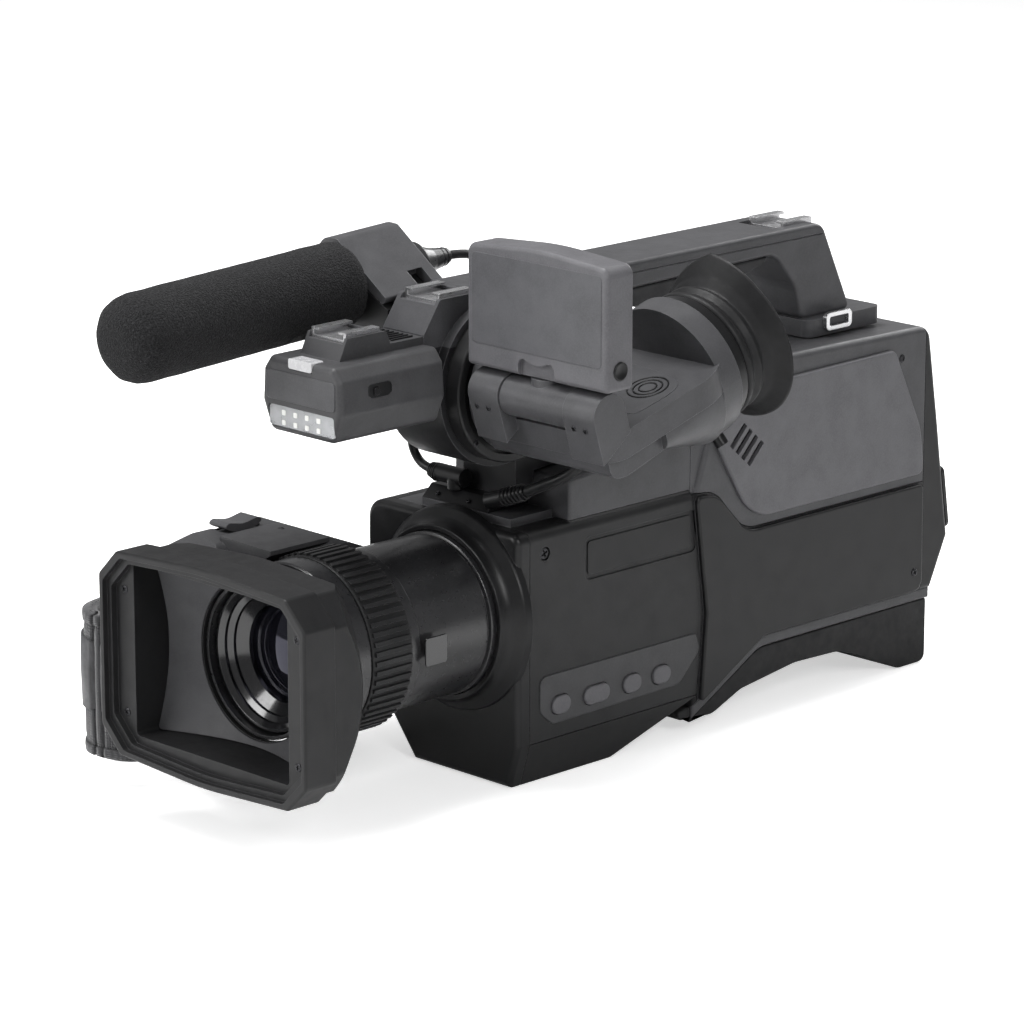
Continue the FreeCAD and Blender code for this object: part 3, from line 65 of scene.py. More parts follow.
# The viewfinder stands tilted about its pivot, and the microphone points a little down.
TILT = math.radians(17.4)
PIVOT = Vector((0, -38, 183.5)) * MM
MIC_DIP = math.radians(3)
MIC = Vector((-45, -55, 225.5)) * MM
# Places that several pieces share, in millimetres.
LENS_HEIGHT = 78.0
SIDE_FACE = 40.0        # the left face of the casing
FINDER_EYE = (80, -7)   # x and z of the eyepiece's axis in the viewfinder's frame
HINGE = (0, -28.3, 15.4)    # the display's hinge in the viewfinder's frame
DISPLAY_X = 77.0        # the middle of the display
DISPLAY_HALF = 42.5     # half its width
DISPLAY_LOW = 11.0
DISPLAY_HIGH = 65.0
DISPLAY_FRONT = -6.1
# The handle's front boss lies below the bar and ahead of this place; it is coloured darker there, as painted
# shade under the bar.
BOSS_TOP = 204.0
BOSS_REAR = 30.0


# ---------------------------------------------------------------- node graphs
class Graph:
    """Short ways to add and join shader nodes in one material."""

    def __init__(self, name, colour, roughness, metallic=0.0):
        self.material = bpy.data.materials.new(name)
        self.material.use_nodes = True
        self.tree = self.material.node_tree
        self.shader = self.tree.nodes["Principled BSDF"]
        self.shader.inputs["Base Color"].default_value = (*colour, 1)
        self.shader.inputs["Roughness"].default_value = roughness
        self.shader.inputs["Metallic"].default_value = metallic
        self.place = self.add("ShaderNodeTexCoord").outputs["Object"]

    def add(self, kind, **values):
        node = self.tree.nodes.new(kind)
        for name, value in values.items():
            setattr(node, name, value)
        return node

    def link(self, source, target):
        self.tree.links.new(source, target)

    def noise(self, size, detail=2.0, rough=0.5, place=None):
        """Noise with features of about this size in metres."""
        node = self.add("ShaderNodeTexNoise")
        node.inputs["Scale"].default_value = 1 / size
        node.inputs["Detail"].default_value = detail
        node.inputs["Roughness"].default_value = rough
        self.link(place or self.place, node.inputs["Vector"])
        return node.outputs["Fac"]

    def remap(self, value, low, high, to_low=0.0, to_high=1.0):
        node = self.add("ShaderNodeMapRange")
        self.link(value, node.inputs["Value"])
        for name, number in (("From Min", low), ("From Max", high), ("To Min", to_low), ("To Max", to_high)):
            node.inputs[name].default_value = number
        return node.outputs["Result"]

    def math(self, operation, first, second):
        """Combine two values, each a number or a socket."""
        node = self.add("ShaderNodeMath", operation=operation)
        for socket, value in zip(node.inputs, (first, second)):
            if isinstance(value, (int, float)):
                socket.default_value = value
            else:
                self.link(value, socket)
        return node.outputs[0]

    def mix(self, factor, first, second):
        """Mix two colours, each a triple or a socket."""
        node = self.add("ShaderNodeMix", data_type="RGBA")
        self.link(factor, node.inputs["Factor"])
        for name, value in (("A", first), ("B", second)):
            socket = next(s for s in node.inputs if s.name == name and s.type == "RGBA")
            if isinstance(value, tuple):
                socket.default_value = (*value, 1)
            else:
                self.link(value, socket)
        return next(s for s in node.outputs if s.type == "RGBA")

    def edge_mask(self, radius):
        """White along edges sharper than this radius, from how far a rounded normal leans away."""
        bevel = self.add("ShaderNodeBevel", samples=4)
        bevel.inputs["Radius"].default_value = radius
        straight = self.add("ShaderNodeNewGeometry").outputs["Normal"]
        dot = self.add("ShaderNodeVectorMath", operation="DOT_PRODUCT")
        self.link(bevel.outputs["Normal"], dot.inputs[0])
        self.link(straight, dot.inputs[1])
        return self.remap(dot.outputs["Value"], 0.99, 0.80), bevel.outputs["Normal"]

    def bump(self, height, distance, strength=1.0, normal=None):
        node = self.add("ShaderNodeBump")
        node.inputs["Strength"].default_value = strength
        node.inputs["Distance"].default_value = distance
        self.link(height, node.inputs["Height"])
        if normal is not None:
            self.link(normal, node.inputs["Normal"])
        return node.outputs["Normal"]

    def colour(self, socket):
        self.link(socket, self.shader.inputs["Base Color"])

    def roughness(self, socket):
        self.link(socket, self.shader.inputs["Roughness"])

    def normal(self, socket):
        self.link(socket, self.shader.inputs["Normal"])


def lighter(colour, factor):
    return tuple(min(1.0, channel * factor) for channel in colour)


def moulded_plastic(name, colour, roughness=0.42, grain=0.55, grain_depth=0.035, edge=0.5, wear_and_highlight=1.7,
                    boss=None):
    """Spark-eroded plastic: fine grain, faint mottling, soft edges a little brighter, partly rubbed wear and
    partly a painted highlight. Sizes in mm.

    boss is a darker colour for the handle's round front boss, below its bar: painted shade under the bar.
    """
    g = Graph(name, colour, roughness)
    mottle = g.noise(14 * MM, 4, 0.6)
    speck = g.noise(grain * MM * 1.6, 3, 0.7)
    base = g.mix(g.remap(mottle, 0.35, 0.65), lighter(colour, 0.88), lighter(colour, 1.12))
    base = g.mix(g.remap(speck, 0.42, 0.68, 0, 0.5), base, lighter(colour, 1.35))
    # Painted shade: the handle is coloured darker below its bar and ahead of BOSS_REAR.
    if boss:
        axes = g.add("ShaderNodeSeparateXYZ")
        g.link(g.place, axes.inputs[0])
        below = g.math("LESS_THAN", axes.outputs["Z"], BOSS_TOP * MM)
        ahead = g.math("LESS_THAN", axes.outputs["Y"], BOSS_REAR * MM)
        base = g.mix(g.math("MULTIPLY", below, ahead), base, boss)
    mask, rounded = g.edge_mask(edge * MM)
    # Edges painted brighter, broken by noise: partly rubbed wear, partly a painted highlight.
    worn_and_lit = g.math("MULTIPLY", mask, g.remap(g.noise(5 * MM, 3), 0.3, 0.7, 0.25, 0.9))
    g.colour(g.mix(worn_and_lit, base, lighter(colour, wear_and_highlight)))
    g.roughness(g.remap(g.noise(9 * MM, 3, 0.6), 0.3, 0.7, roughness - 0.05, roughness + 0.07))
    grain_height = g.noise(grain * MM, 2, 0.6)
    g.normal(g.bump(grain_height, grain_depth * MM, 0.7, rounded))
    g.shader.inputs["Specular IOR Level"].default_value = 0.26
    return g.material


def smooth_plastic(name, colour, roughness=0.22, coat=0.0, edge=0.4):
    """Polished or lacquered plastic with fine dust and very faint waviness."""
    g = Graph(name, colour, roughness)
    mottle = g.noise(22 * MM, 3, 0.55)
    base = g.mix(g.remap(mottle, 0.35, 0.65), lighter(colour, 0.92), lighter(colour, 1.1))
    mask, rounded = g.edge_mask(edge * MM)
    # Edges painted brighter: a painted highlight.
    g.colour(g.mix(g.math("MULTIPLY", mask, 0.5), base, lighter(colour, 2.0)))
    g.roughness(g.remap(g.noise(3 * MM, 5, 0.7), 0.35, 0.75, roughness - 0.03, roughness + 0.08))
    g.normal(g.bump(g.noise(18 * MM, 2), 0.06 * MM, 0.35, rounded))
    g.shader.inputs["Coat Weight"].default_value = coat
    g.shader.inputs["Coat Roughness"].default_value = 0.12
    return g.material


def rubber(name, colour=(0.02, 0.02, 0.021), roughness=0.62, grain=0.35):
    """Matt rubber: dusty bloom, fine pores and edges painted slightly brighter, partly rubbed shine and
    partly a painted highlight.
    """
    g = Graph(name, colour, roughness)
    bloom = g.noise(11 * MM, 5, 0.65)
    base = g.mix(g.remap(bloom, 0.4, 0.7), colour, lighter(colour, 1.6))
    mask, rounded = g.edge_mask(0.5 * MM)
    # Edges painted brighter: partly rubbed shine, partly a painted highlight.
    g.colour(g.mix(g.math("MULTIPLY", mask, 0.4), base, lighter(colour, 2.2)))
    g.roughness(g.remap(g.noise(4 * MM, 4, 0.6), 0.3, 0.7, roughness - 0.08, roughness + 0.08))
    g.normal(g.bump(g.noise(grain * MM, 3, 0.7), 0.04 * MM, 0.6, rounded))
    g.shader.inputs["Sheen Weight"].default_value = 0.02
    g.shader.inputs["Sheen Roughness"].default_value = 0.5
    g.shader.inputs["Specular IOR Level"].default_value = 0.22
    return g.material


def metal(name, colour, roughness, brush=(1.0, 1.0, 1.0), edge=0.3):
    """Plated or brushed metal; brush stretches the scratches along the axes."""
    g = Graph(name, colour, roughness, metallic=1.0)
    mapping = g.add("ShaderNodeMapping")
    mapping.inputs["Scale"].default_value = brush
    g.link(g.place, mapping.inputs["Vector"])
    lines = g.noise(0.4 * MM, 4, 0.7, mapping.outputs["Vector"])
    mask, rounded = g.edge_mask(edge * MM)
    base = g.mix(g.remap(lines, 0.35, 0.7), lighter(colour, 0.8), colour)
    # Edges painted brighter: a painted highlight.
    g.colour(g.mix(g.math("MULTIPLY", mask, 0.6), base, lighter(colour, 1.3)))
    g.roughness(g.remap(lines, 0.3, 0.7, roughness - 0.06, roughness + 0.12))
    g.normal(g.bump(lines, 0.012 * MM, 0.4, rounded))
    return g.material


def painted_metal(name, colour=(0.012, 0.012, 0.013), roughness=0.3):
    """Hard black finish on turned metal, worn to the base along its edges."""
    g = Graph(name, colour, roughness)
    mask, rounded = g.edge_mask(0.35 * MM)
    chips = g.math("MULTIPLY", mask, g.remap(g.noise(1.2 * MM, 5, 0.7), 0.52, 0.66))
    base = g.mix(g.remap(g.noise(16 * MM, 3), 0.35, 0.65), lighter(colour, 0.85), lighter(colour, 1.25))
    g.colour(g.mix(chips, base, (0.16, 0.16, 0.165)))
    g.roughness(g.remap(g.noise(2 * MM, 4, 0.7), 0.3, 0.7, roughness - 0.05, roughness + 0.08))
    g.normal(g.bump(g.noise(0.25 * MM, 2), 0.01 * MM, 0.5, rounded))
    g.shader.inputs["Coat Weight"].default_value = 0.25
    g.shader.inputs["Coat Roughness"].default_value = 0.2
    return g.material


def foam():
    """Open-cell windscreen foam: dark cells between paler, speckled cell walls."""
    colour = (0.008, 0.008, 0.0085)
    g = Graph("windscreen_foam", colour, 0.95)
    cells = g.add("ShaderNodeTexVoronoi", feature="F1")
    cells.inputs["Scale"].default_value = 1 / (0.8 * MM)
    g.link(g.place, cells.inputs["Vector"])
    pores = g.remap(cells.outputs["Distance"], 0.1, 0.75)
    speck = g.noise(0.9 * MM, 4, 0.75)
    tone = g.mix(pores, lighter(colour, 0.45), lighter(colour, 2.0))
    tone = g.mix(g.remap(speck, 0.5, 0.72, 0, 0.8), tone, (0.045, 0.045, 0.047))
    g.colour(g.mix(g.remap(g.noise(20 * MM, 3), 0.35, 0.65, 0, 0.3), tone, lighter(colour, 1.2)))
    height = g.math("ADD", pores, g.math("MULTIPLY", speck, 0.8))
    g.normal(g.bump(height, 0.5 * MM, 0.9))
    g.shader.inputs["Sheen Weight"].default_value = 0.03
    g.shader.inputs["Sheen Roughness"].default_value = 0.6
    g.shader.inputs["Specular IOR Level"].default_value = 0.1
    return g.material


def knit(name, colour=(0.010, 0.010, 0.011), pitch=1.3):
    """Spacer-mesh fabric: rows of small holes with threads between them."""
    g = Graph(name, colour, 0.85)
    cells = g.add("ShaderNodeTexVoronoi", feature="F1")
    cells.inputs["Scale"].default_value = 1 / (pitch * MM)
    cells.inputs["Randomness"].default_value = 0.15
    g.link(g.place, cells.inputs["Vector"])
    hole = g.remap(cells.outputs["Distance"], 0.15, 0.5)
    thread = g.noise(0.25 * MM, 3, 0.7)
    tone = g.mix(hole, lighter(colour, 0.3), lighter(colour, 1.8))
    g.colour(g.mix(g.remap(thread, 0.4, 0.7, 0, 0.6), tone, lighter(colour, 3.2)))
    g.normal(g.bump(g.math("ADD", hole, g.math("MULTIPLY", thread, 0.4)), 0.35 * MM, 0.9))
    g.shader.inputs["Sheen Weight"].default_value = 0.35
    g.shader.inputs["Sheen Roughness"].default_value = 0.45
    return g.material


def webbing(name, colour=(0.016, 0.016, 0.018)):
    """Woven tape: a fine two-way rib."""
    g = Graph(name, colour, 0.8)
    waves = []
    for direction in ("Y", "Z"):
        wave = g.add("ShaderNodeTexWave", bands_direction=direction)
        wave.inputs["Scale"].default_value = 320
        wave.inputs["Distortion"].default_value = 0.6
        g.link(g.place, wave.inputs["Vector"])
        waves.append(wave.outputs["Fac"])
    weave = g.math("MULTIPLY", waves[0], waves[1])
    g.colour(g.mix(weave, lighter(colour, 0.6), lighter(colour, 2.4)))
    g.normal(g.bump(weave, 0.25 * MM, 0.8))
    g.shader.inputs["Sheen Weight"].default_value = 0.3
    return g.material


def coated_glass(name, tint, coat_tint):
    """Lens glass with a coloured anti-reflection coating."""
    g = Graph(name, tint, 0.02)
    smear = g.noise(9 * MM, 5, 0.6)
    g.roughness(g.remap(smear, 0.5, 0.8, 0.01, 0.07))
    g.colour(g.mix(g.remap(smear, 0.3, 0.7), tint, lighter(tint, 1.5)))
    g.shader.inputs["Specular Tint"].default_value = (*coat_tint, 1)
    g.shader.inputs["Specular IOR Level"].default_value = 0.4
    g.shader.inputs["Coat Weight"].default_value = 0.2
    g.shader.inputs["Coat Roughness"].default_value = 0.02
    g.shader.inputs["Coat Tint"].default_value = (*coat_tint, 1)
    return g.material


def clear_window():
    """The light's moulded window: milky, with fine vertical prisms."""
    g = Graph("light_diffuser", (0.88, 0.89, 0.92), 0.16)
    wave = g.add("ShaderNodeTexWave", bands_direction="X")
    wave.inputs["Scale"].default_value = 260
    g.link(g.place, wave.inputs["Vector"])
    g.colour(g.mix(g.remap(g.noise(6 * MM, 3), 0.3, 0.7), (0.78, 0.79, 0.82), (0.95, 0.96, 0.98)))
    g.normal(g.bump(wave.outputs["Fac"], 0.05 * MM, 0.3))
    g.shader.inputs["Transmission Weight"].default_value = 0.72
    g.shader.inputs["IOR"].default_value = 1.45
    return g.material


def circuit_board():
    """Green solder mask with a hint of copper tracks."""
    g = Graph("circuit_board", (0.02, 0.09, 0.045), 0.35)
    tracks = g.add("ShaderNodeTexBrick")
    tracks.inputs["Scale"].default_value = 300
    g.link(g.place, tracks.inputs["Vector"])
    g.colour(g.mix(tracks.outputs["Fac"], (0.015, 0.07, 0.035), (0.05, 0.16, 0.08)))
    g.normal(g.bump(tracks.outputs["Fac"], 0.05 * MM, 0.5))
    return g.material


def lit(name, colour, strength):
    """A small lamp face."""
    g = Graph(name, colour, 0.2)
    g.colour(g.mix(g.noise(1.5 * MM, 2), lighter(colour, 0.85), colour))
    g.shader.inputs["Emission Color"].default_value = (*colour, 1)
    g.shader.inputs["Emission Strength"].default_value = strength
    return g.material


# Every material, by a short name; FINISH below says which CAD nodes take which.
MATERIALS = {
    "casing": moulded_plastic("casing_charcoal", (0.010, 0.010, 0.0105), 0.40, wear_and_highlight=5.0),
    "casing_dark": moulded_plastic("casing_black", (0.0065, 0.0065, 0.007), 0.34, grain=0.4,
                                   grain_depth=0.015, wear_and_highlight=7.0),
    "casing_mid": moulded_plastic("casing_middle", (0.040, 0.040, 0.042), 0.42, wear_and_highlight=1.8),
    # Painted light: dark casing plastic painted a lighter grey on parts where the light falls.
    "casing_painted_light": moulded_plastic("casing_grey_painted_light", (0.050, 0.050, 0.053), 0.38, wear_and_highlight=3.2),
    # Painted light and shade: the handle's dark plastic painted lighter grey where light falls, darker at its
    # boss under the bar.
    "handle_painted_light_and_shade": moulded_plastic("handle_grey_painted_light", (0.046, 0.046, 0.049), 0.38, wear_and_highlight=3.2,
                                       boss=(0.010, 0.010, 0.011)),
    # Painted light: the panels' dark plastic painted a lighter grey for the light reflected on them.
    "panel_painted_light": moulded_plastic("panel_grey_painted_light", (0.085, 0.084, 0.090), 0.40, wear_and_highlight=2.4),
    "hood": moulded_plastic("hood_black", (0.010, 0.010, 0.0105), 0.44, grain=0.45, wear_and_highlight=5.5),
    # Painted light: the hood's inner baffle painted lighter than the hood, for the light falling into it.
    "baffle": moulded_plastic("baffle_black", (0.045, 0.045, 0.048), 0.5, grain=0.3, wear_and_highlight=1.8),
    "gloss": smooth_plastic("gloss_black", (0.008, 0.008, 0.009), 0.14, coat=0.5),
    "screen": smooth_plastic("screen_black", (0.006, 0.006, 0.008), 0.07, coat=1.0),
    "rubber": rubber("rubber_black"),
    "ring_rubber": rubber("ring_rubber", (0.010, 0.010, 0.0105), 0.42),
    "cup_rubber": rubber("cup_rubber", (0.007, 0.007, 0.0075), 0.5),
    "cable": rubber("cable_jacket", (0.009, 0.009, 0.0095), 0.36),
    "foam": foam(),
    "knit": knit("strap_knit"),
    "webbing": webbing("strap_webbing"),
    "pad": rubber("shoulder_foam", (0.009, 0.009, 0.0095), 0.55, grain=0.6),
    "silver": metal("satin_nickel", (0.72, 0.72, 0.73), 0.28, brush=(1, 0.08, 1)),
    "pale_metal": metal("bright_loop", (0.86, 0.86, 0.87), 0.2),
    "black_metal": painted_metal("black_anodised"),
    "screw": metal("screw_black", (0.045, 0.045, 0.048), 0.32),
    "cast": metal("cast_alloy", (0.5, 0.5, 0.52), 0.45),
    "front_glass": coated_glass("front_glass", (0.002, 0.002, 0.003), (0.75, 0.75, 1.0)),
    "eye_glass": coated_glass("eye_glass", (0.01, 0.012, 0.014), (0.7, 1.0, 0.8)),
    "window": clear_window(),
    "board": circuit_board(),
    "tally": smooth_plastic("tally_lens", (0.42, 0.42, 0.43), 0.25, coat=0.6),
    "led": lit("lamp_dome", (0.62, 0.62, 0.60), 0.12),
    # Painted light: the display's dark face painted a lighter grey for the glossy light on it.
    "display_face": moulded_plastic("display_face_painted_light", (0.070, 0.070, 0.075), 0.34, grain=0.35, wear_and_highlight=1.5),
    "strip": rubber("strap_strip", (0.05, 0.05, 0.052), 0.5, grain=0.5),
    "ring_line": metal("lens_ring_line", (0.17, 0.165, 0.15), 0.3),
    "record_red": smooth_plastic("record_red", (0.30, 0.012, 0.012), 0.3),
    "battery_plastic": moulded_plastic("battery_black", (0.014, 0.014, 0.015), 0.36, wear_and_highlight=2.2),
}

FINISH = {
    "casing": ["left_front_cover", "finder_bracket", "mic_holder", "terminal_cover"],
    "casing_mid": ["button_panel", "grip_housing", "light_housing"],
    "casing_dark": ["front_casing", "bottom_plate", "left_rear_cover", "right_cover", "battery_bay",
                    "cable_clamp", "cable_plugs", "battery_release", "focus_lever", "light_switch",
                    "eyepiece_ring"],
    "handle_painted_light_and_shade": ["handle"],
    "casing_painted_light": ["mic_clamp", "finder_body", "display_hinge", "zoom_rocker", "shoulder_rim",
                     "rear_housing", "top_cover"],
    "panel_painted_light": ["speaker_panel", "display_panel", "peaking_button", "manual_button",
                    "balance_button", "balance_set_button"],
    "hood": ["hood_shell"],
    "baffle": ["hood_baffle"],
    "gloss": ["lens_front_ring"],
    "screen": ["display_screen"],
    "rubber": ["handle_grip"],
    "ring_rubber": ["manual_ring"],
    "silver": ["cold_shoes"],
    "pale_metal": ["strap_loops"],
    "black_metal": ["lens_barrel", "microphone"],
    "cast": ["chassis_frame"],
    "front_glass": ["front_lens", "rear_lens_group"],
    "eye_glass": ["eyepiece_lens"],
    "window": ["light_window"],
    "board": ["circuit_boards", "light_board"],
    "tally": ["tally_lamp"],
    "record_red": ["record_button"],
    "battery_plastic": ["battery"],
}


def paint(obj, material):
    obj.data.materials.clear()
    obj.data.materials.append(MATERIALS[material])


for finish_name, node_names in FINISH.items():
    for node_name in node_names:
        paint(NODES[node_name], finish_name)


# ---------------------------------------------------------------- shapes
def at(x, y, z):
    """A point given in millimetres, in metres."""
    return Vector((x, y, z)) * MM


def finder_at(x, y, z):
    """A point of the viewfinder's own tilted frame, in the whole camera's frame."""
    return PIVOT + Matrix.Rotation(TILT, 3, "X") @ at(x, y, z)


def mic_at(x, y, z):
    """A point of the microphone's own frame, in the whole camera's frame."""
    return MIC + Matrix.Rotation(MIC_DIP, 3, "X") @ at(x, y, z)


def add_piece(name, points, faces, material, body="camera", smooth=True):
    """A mesh piece from points in metres, with its material and the body that it rides on."""
    mesh = bpy.data.meshes.new(name)
    mesh.from_pydata([tuple(p) for p in points], [], faces)
    mesh.validate()
    mesh.update()
    piece = bpy.data.objects.new(name, mesh)
    bpy.context.scene.collection.objects.link(piece)
    mesh.materials.append(MATERIALS[material])
    for polygon in mesh.polygons:
        polygon.use_smooth = smooth
    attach(piece, body)
    return piece


def grid_faces(rows, columns, wrap_rows=False):
    """Quads over closed rows of points laid out row by row; with wrap_rows the last row meets the first."""
    faces = []
    for row in range(rows if wrap_rows else rows - 1):
        following = (row + 1) % rows
        for column in range(columns):
            beside = (column + 1) % columns
            faces.append((row * columns + column, row * columns + beside,
                          following * columns + beside, following * columns + column))
    return faces


def turn_angles(steps):
    """Angles evenly spaced round one full turn."""
    return [2 * math.pi * step / steps for step in range(steps)]


def lathe(name, profile, place, material, body="camera", steps=64):
    """A turned piece: (y, radius) points in millimetres about an axis, placed by a function of (x, y, z)."""
    points = []
    for y, radius in profile:
        for angle in turn_angles(steps):
            points.append(place(radius * math.sin(angle), y, radius * math.cos(angle)))
    return add_piece(name, points, grid_faces(len(profile), steps), material, body)


def rounded_outline(corners, steps=6):
    """Corners (x, y, radius) as a smooth closed outline; a corner with no radius stays sharp."""
    outline = []
    for index, (x, y, radius) in enumerate(corners):
        here = Vector((x, y))
        if not radius:
            outline.append(here)
            continue
        before = (Vector(corners[index - 1][:2]) - here).normalized()
        after = (Vector(corners[(index + 1) % len(corners)][:2]) - here).normalized()
        half = before.angle(after) / 2
        entry, leave = here + before * radius / math.tan(half), here + after * radius / math.tan(half)
        for step in range(steps + 1):
            t = step / steps
            outline.append(entry * (1 - t) ** 2 + here * 2 * t * (1 - t) + leave * t ** 2)
    return outline


def plate(name, corners, low, high, place, material, body="camera", bevel=0.3):
    """A flat piece of an outline between two levels; place turns (u, v, level) in mm into a point."""
    outline = rounded_outline(corners)
    count = len(outline)
    points = [place(p.x, p.y, level) for level in (low, high) for p in outline]
    faces = grid_faces(2, count)
    faces += [tuple(reversed(range(count))), tuple(range(count, 2 * count))]
    piece = add_piece(name, points, faces, material, body, smooth=False)
    if bevel:
        softened = piece.modifiers.new("soft edges", "BEVEL")
        softened.width = bevel * MM
        softened.segments = 2
        softened.limit_method = "ANGLE"
    return piece


def box_corners(u0, v0, u1, v1, radius=0.0):
    return [(u0, v0, radius), (u1, v0, radius), (u1, v1, radius), (u0, v1, radius)]


# Where flat details lie: on the left side, facing the front, on top, and on the viewfinder.
def on_left(y, z, level):
    return at(level, y, z)


def on_front(x, z, level):
    return at(x, level, z)


def on_top(x, y, level):
    return at(x, y, level)


def on_deck(x, y, level):
    return finder_at(x, y, level)


def on_display(x, z, level):
    """The display's own upright frame, at the middle of its hinge."""
    return finder_at(*HINGE) + at(DISPLAY_X + x, level, z)


# ---------------------------------------------------------------- screws and ribs
def cross_radius(angle, arm, width):
    """How far a cross recess reaches in a direction."""
    never_zero = 1e-6
    along = abs(math.cos(angle)) + never_zero
    across = abs(math.sin(angle)) + never_zero
    return max(min(arm / along, width / across), min(arm / across, width / along))


def screw(name, centre, facing, radius, body="camera", height=0.5, turned=0.4):
    """A domed screw head with a cross recess, facing along a direction."""
    steps = 48
    turn = Vector(facing).to_track_quat("Z", "Y").to_matrix()
    rings = [(radius, -0.3), (radius, height * 0.5), (radius * 0.86, height * 0.9), (radius * 0.72, height)]
    points = []
    for ring, level in rings:
        for angle in turn_angles(steps):
            points.append(centre + turn @ at(ring * math.cos(angle), ring * math.sin(angle), level))
    # The recess: its arms at the top of the head, then the same cross, smaller, at its floor.
    recess_depth = 0.75
    for arm, level in ((0.62, height), (0.52, height - recess_depth)):
        for angle in turn_angles(steps):
            reach = cross_radius(angle, radius * arm, radius * 0.16)
            way = angle + turned
            points.append(centre + turn @ at(reach * math.cos(way), reach * math.sin(way), level))
    faces = grid_faces(len(rings) + 2, steps)
    faces.append(tuple(range((len(rings) + 1) * steps, (len(rings) + 2) * steps)))
    return add_piece(name, points, faces, "screw", body, smooth=False)


def make_screws():
    """Cross-head screws in place of the CAD's plain heads."""
    left, ahead, up = (1, 0, 0), (0, -1, 0), (0, 0, 1)
    hood_face = -196.0
    heads = [screw(f"hood_screw_{side}_{level}", at(side, hood_face, level), ahead, 1.9, turned=0.3 + side)
             for side in (-56, 56) for level in (48.5, 104.5)]
    screw_bed = SIDE_FACE - 1
    rear_cover_face = SIDE_FACE + 2.2
    screw("cover_screw", at(screw_bed, -32.6, 107.6), left, 2.9)
    screw("rear_screw", at(rear_cover_face, 220, 50), left, 2.0)
    screw("housing_screw", at(SIDE_FACE, 210, 158), left, 2.0)
    bracket_face, screw_circle = 26.5, 33
    for index in range(3):
        around = math.radians(102.7 + 120 * index)
        place = PIVOT + at(bracket_face, screw_circle * math.cos(around), screw_circle * math.sin(around))
        screw(f"ring_screw_{index}", place, left, 1.6, turned=index)
    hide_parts("case_screws")
    knuckle_face = -37.9
    along_finder = finder_at(*ahead) - finder_at(0, 0, 0)
    for index, x in enumerate((43, 50, 102, 109)):
        screw(f"knuckle_screw_{index}", finder_at(x, knuckle_face, 12), along_finder, 1.3, "viewfinder",
              turned=index)
    screw("grip_screw", at(-47, -112, 117.6), up, 1.7)
    block_slope = (0, -1, 1.4)
    for x in (-22, -2):
        screw(f"block_screw_{-x}", at(x, -39.6, 125.6), block_slope, 1.1, height=0.3)


def rib_ring(name, centre, direction, radius):
    """One raised rib of a strain relief: a small torus about a direction."""
    turn = Vector(direction).to_track_quat("Z", "Y").to_matrix()
    thick, steps, around = 0.5, 32, 8
    points = []
    for phase in turn_angles(around):
        reach, level = radius + thick * math.cos(phase), thick * math.sin(phase)
        for angle in turn_angles(steps):
            points.append(centre + turn @ at(reach * math.cos(angle), reach * math.sin(angle), level))
    return add_piece(name, points, grid_faces(around, steps, wrap_rows=True), "cable")


def ribbed_relief(name, start, end, wide, narrow, count):
    """A run of ribs along a tapered strain relief, between two points in mm."""
    start, end = at(*start), at(*end)
    for index in range(count):
        t = (index + 0.5) / count
        rib_ring(f"{name}_{index}", start.lerp(end, t), end - start, wide + (narrow - wide) * t)


# ---------------------------------------------------------------- leads
# The routes of the CAD's tubes, as control points of smooth curves; then each lead's length and thickness.
ROUTES = {
    "mic_cable": [(-45, -11.06, 227.8), (-45, 1.5, 227.6), (-44, 13, 222.5), (-41.5, 23, 213),
                  (-38, 30.5, 201), (-33.5, 36.5, 188), (-29.5, 40, 174), (-28, 41, 159)],
    "light_cable": [(-20, -81, 181), (-21, -72, 180), (-24.5, -63, 175), (-29, -54, 168),
                    (-33.8, -46.1, 159.7), (-38, -40.9, 152.3), (-40.4, -38.1, 146.4),
                    (-40.2, -36.9, 141.6), (-38, -36.2, 137.8), (-34.6, -35.8, 135.4),
                    (-30.5, -35.6, 134.7)],
    "finder_cable": [(31, -35.5, 135), (42, -34, 140.2), (52, -31.2, 145.2), (58.6, -28.6, 151.5),
                     (61.6, -27.3, 159), (62, -27, 165.8)],
}
LEADS = {"mic_cable": (98.4, 4.2), "light_cable": (78.9, 4.2), "finder_cable": (48.0, 5.2)}


def route_curve(name, route, radius):
    """A round smooth curve drawn by its route's points; with no radius it is only the line."""
    curve = bpy.data.curves.new(name, "CURVE")
    curve.dimensions = "3D"
    curve.bevel_depth = radius
    curve.bevel_resolution = 6
    curve.resolution_u = 12
    curve.use_fill_caps = True
    spline = curve.splines.new("NURBS")
    spline.points.add(len(route) - 1)
    for point, place in zip(spline.points, route):
        point.co = (*at(*place), 1)
    spline.order_u = 3
    spline.use_endpoint_u = True
    curve.materials.append(MATERIALS["cable"])
    cord = bpy.data.objects.new(name, curve)
    bpy.context.scene.collection.objects.link(cord)
    return cord


def as_mesh(cord):
    """The mesh that a curve object makes."""
    graph = bpy.context.evaluated_depsgraph_get()
    return bpy.data.meshes.new_from_object(cord.evaluated_get(graph))


def make_leads():
    """The three leads as round rubber cords; the viewfinder's is a mesh tube."""
    for node, (length, diameter) in LEADS.items():
        route = ROUTES[node]
        cord = route_curve(node + "_cord", route, diameter / 2 * MM)
        path = None
        if node == "finder_cable":
            line = route_curve("finder_line", route, 0.0)
            path = [tuple(vertex.co) for vertex in as_mesh(line).vertices]
            tube = bpy.data.objects.new("finder_cable_tube", as_mesh(cord))
            for extra in (line, cord):
                bpy.data.objects.remove(extra)
            cord = tube
            bpy.context.scene.collection.objects.link(cord)
            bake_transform(cord)
        else:
            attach(cord, "camera")
        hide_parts(node)


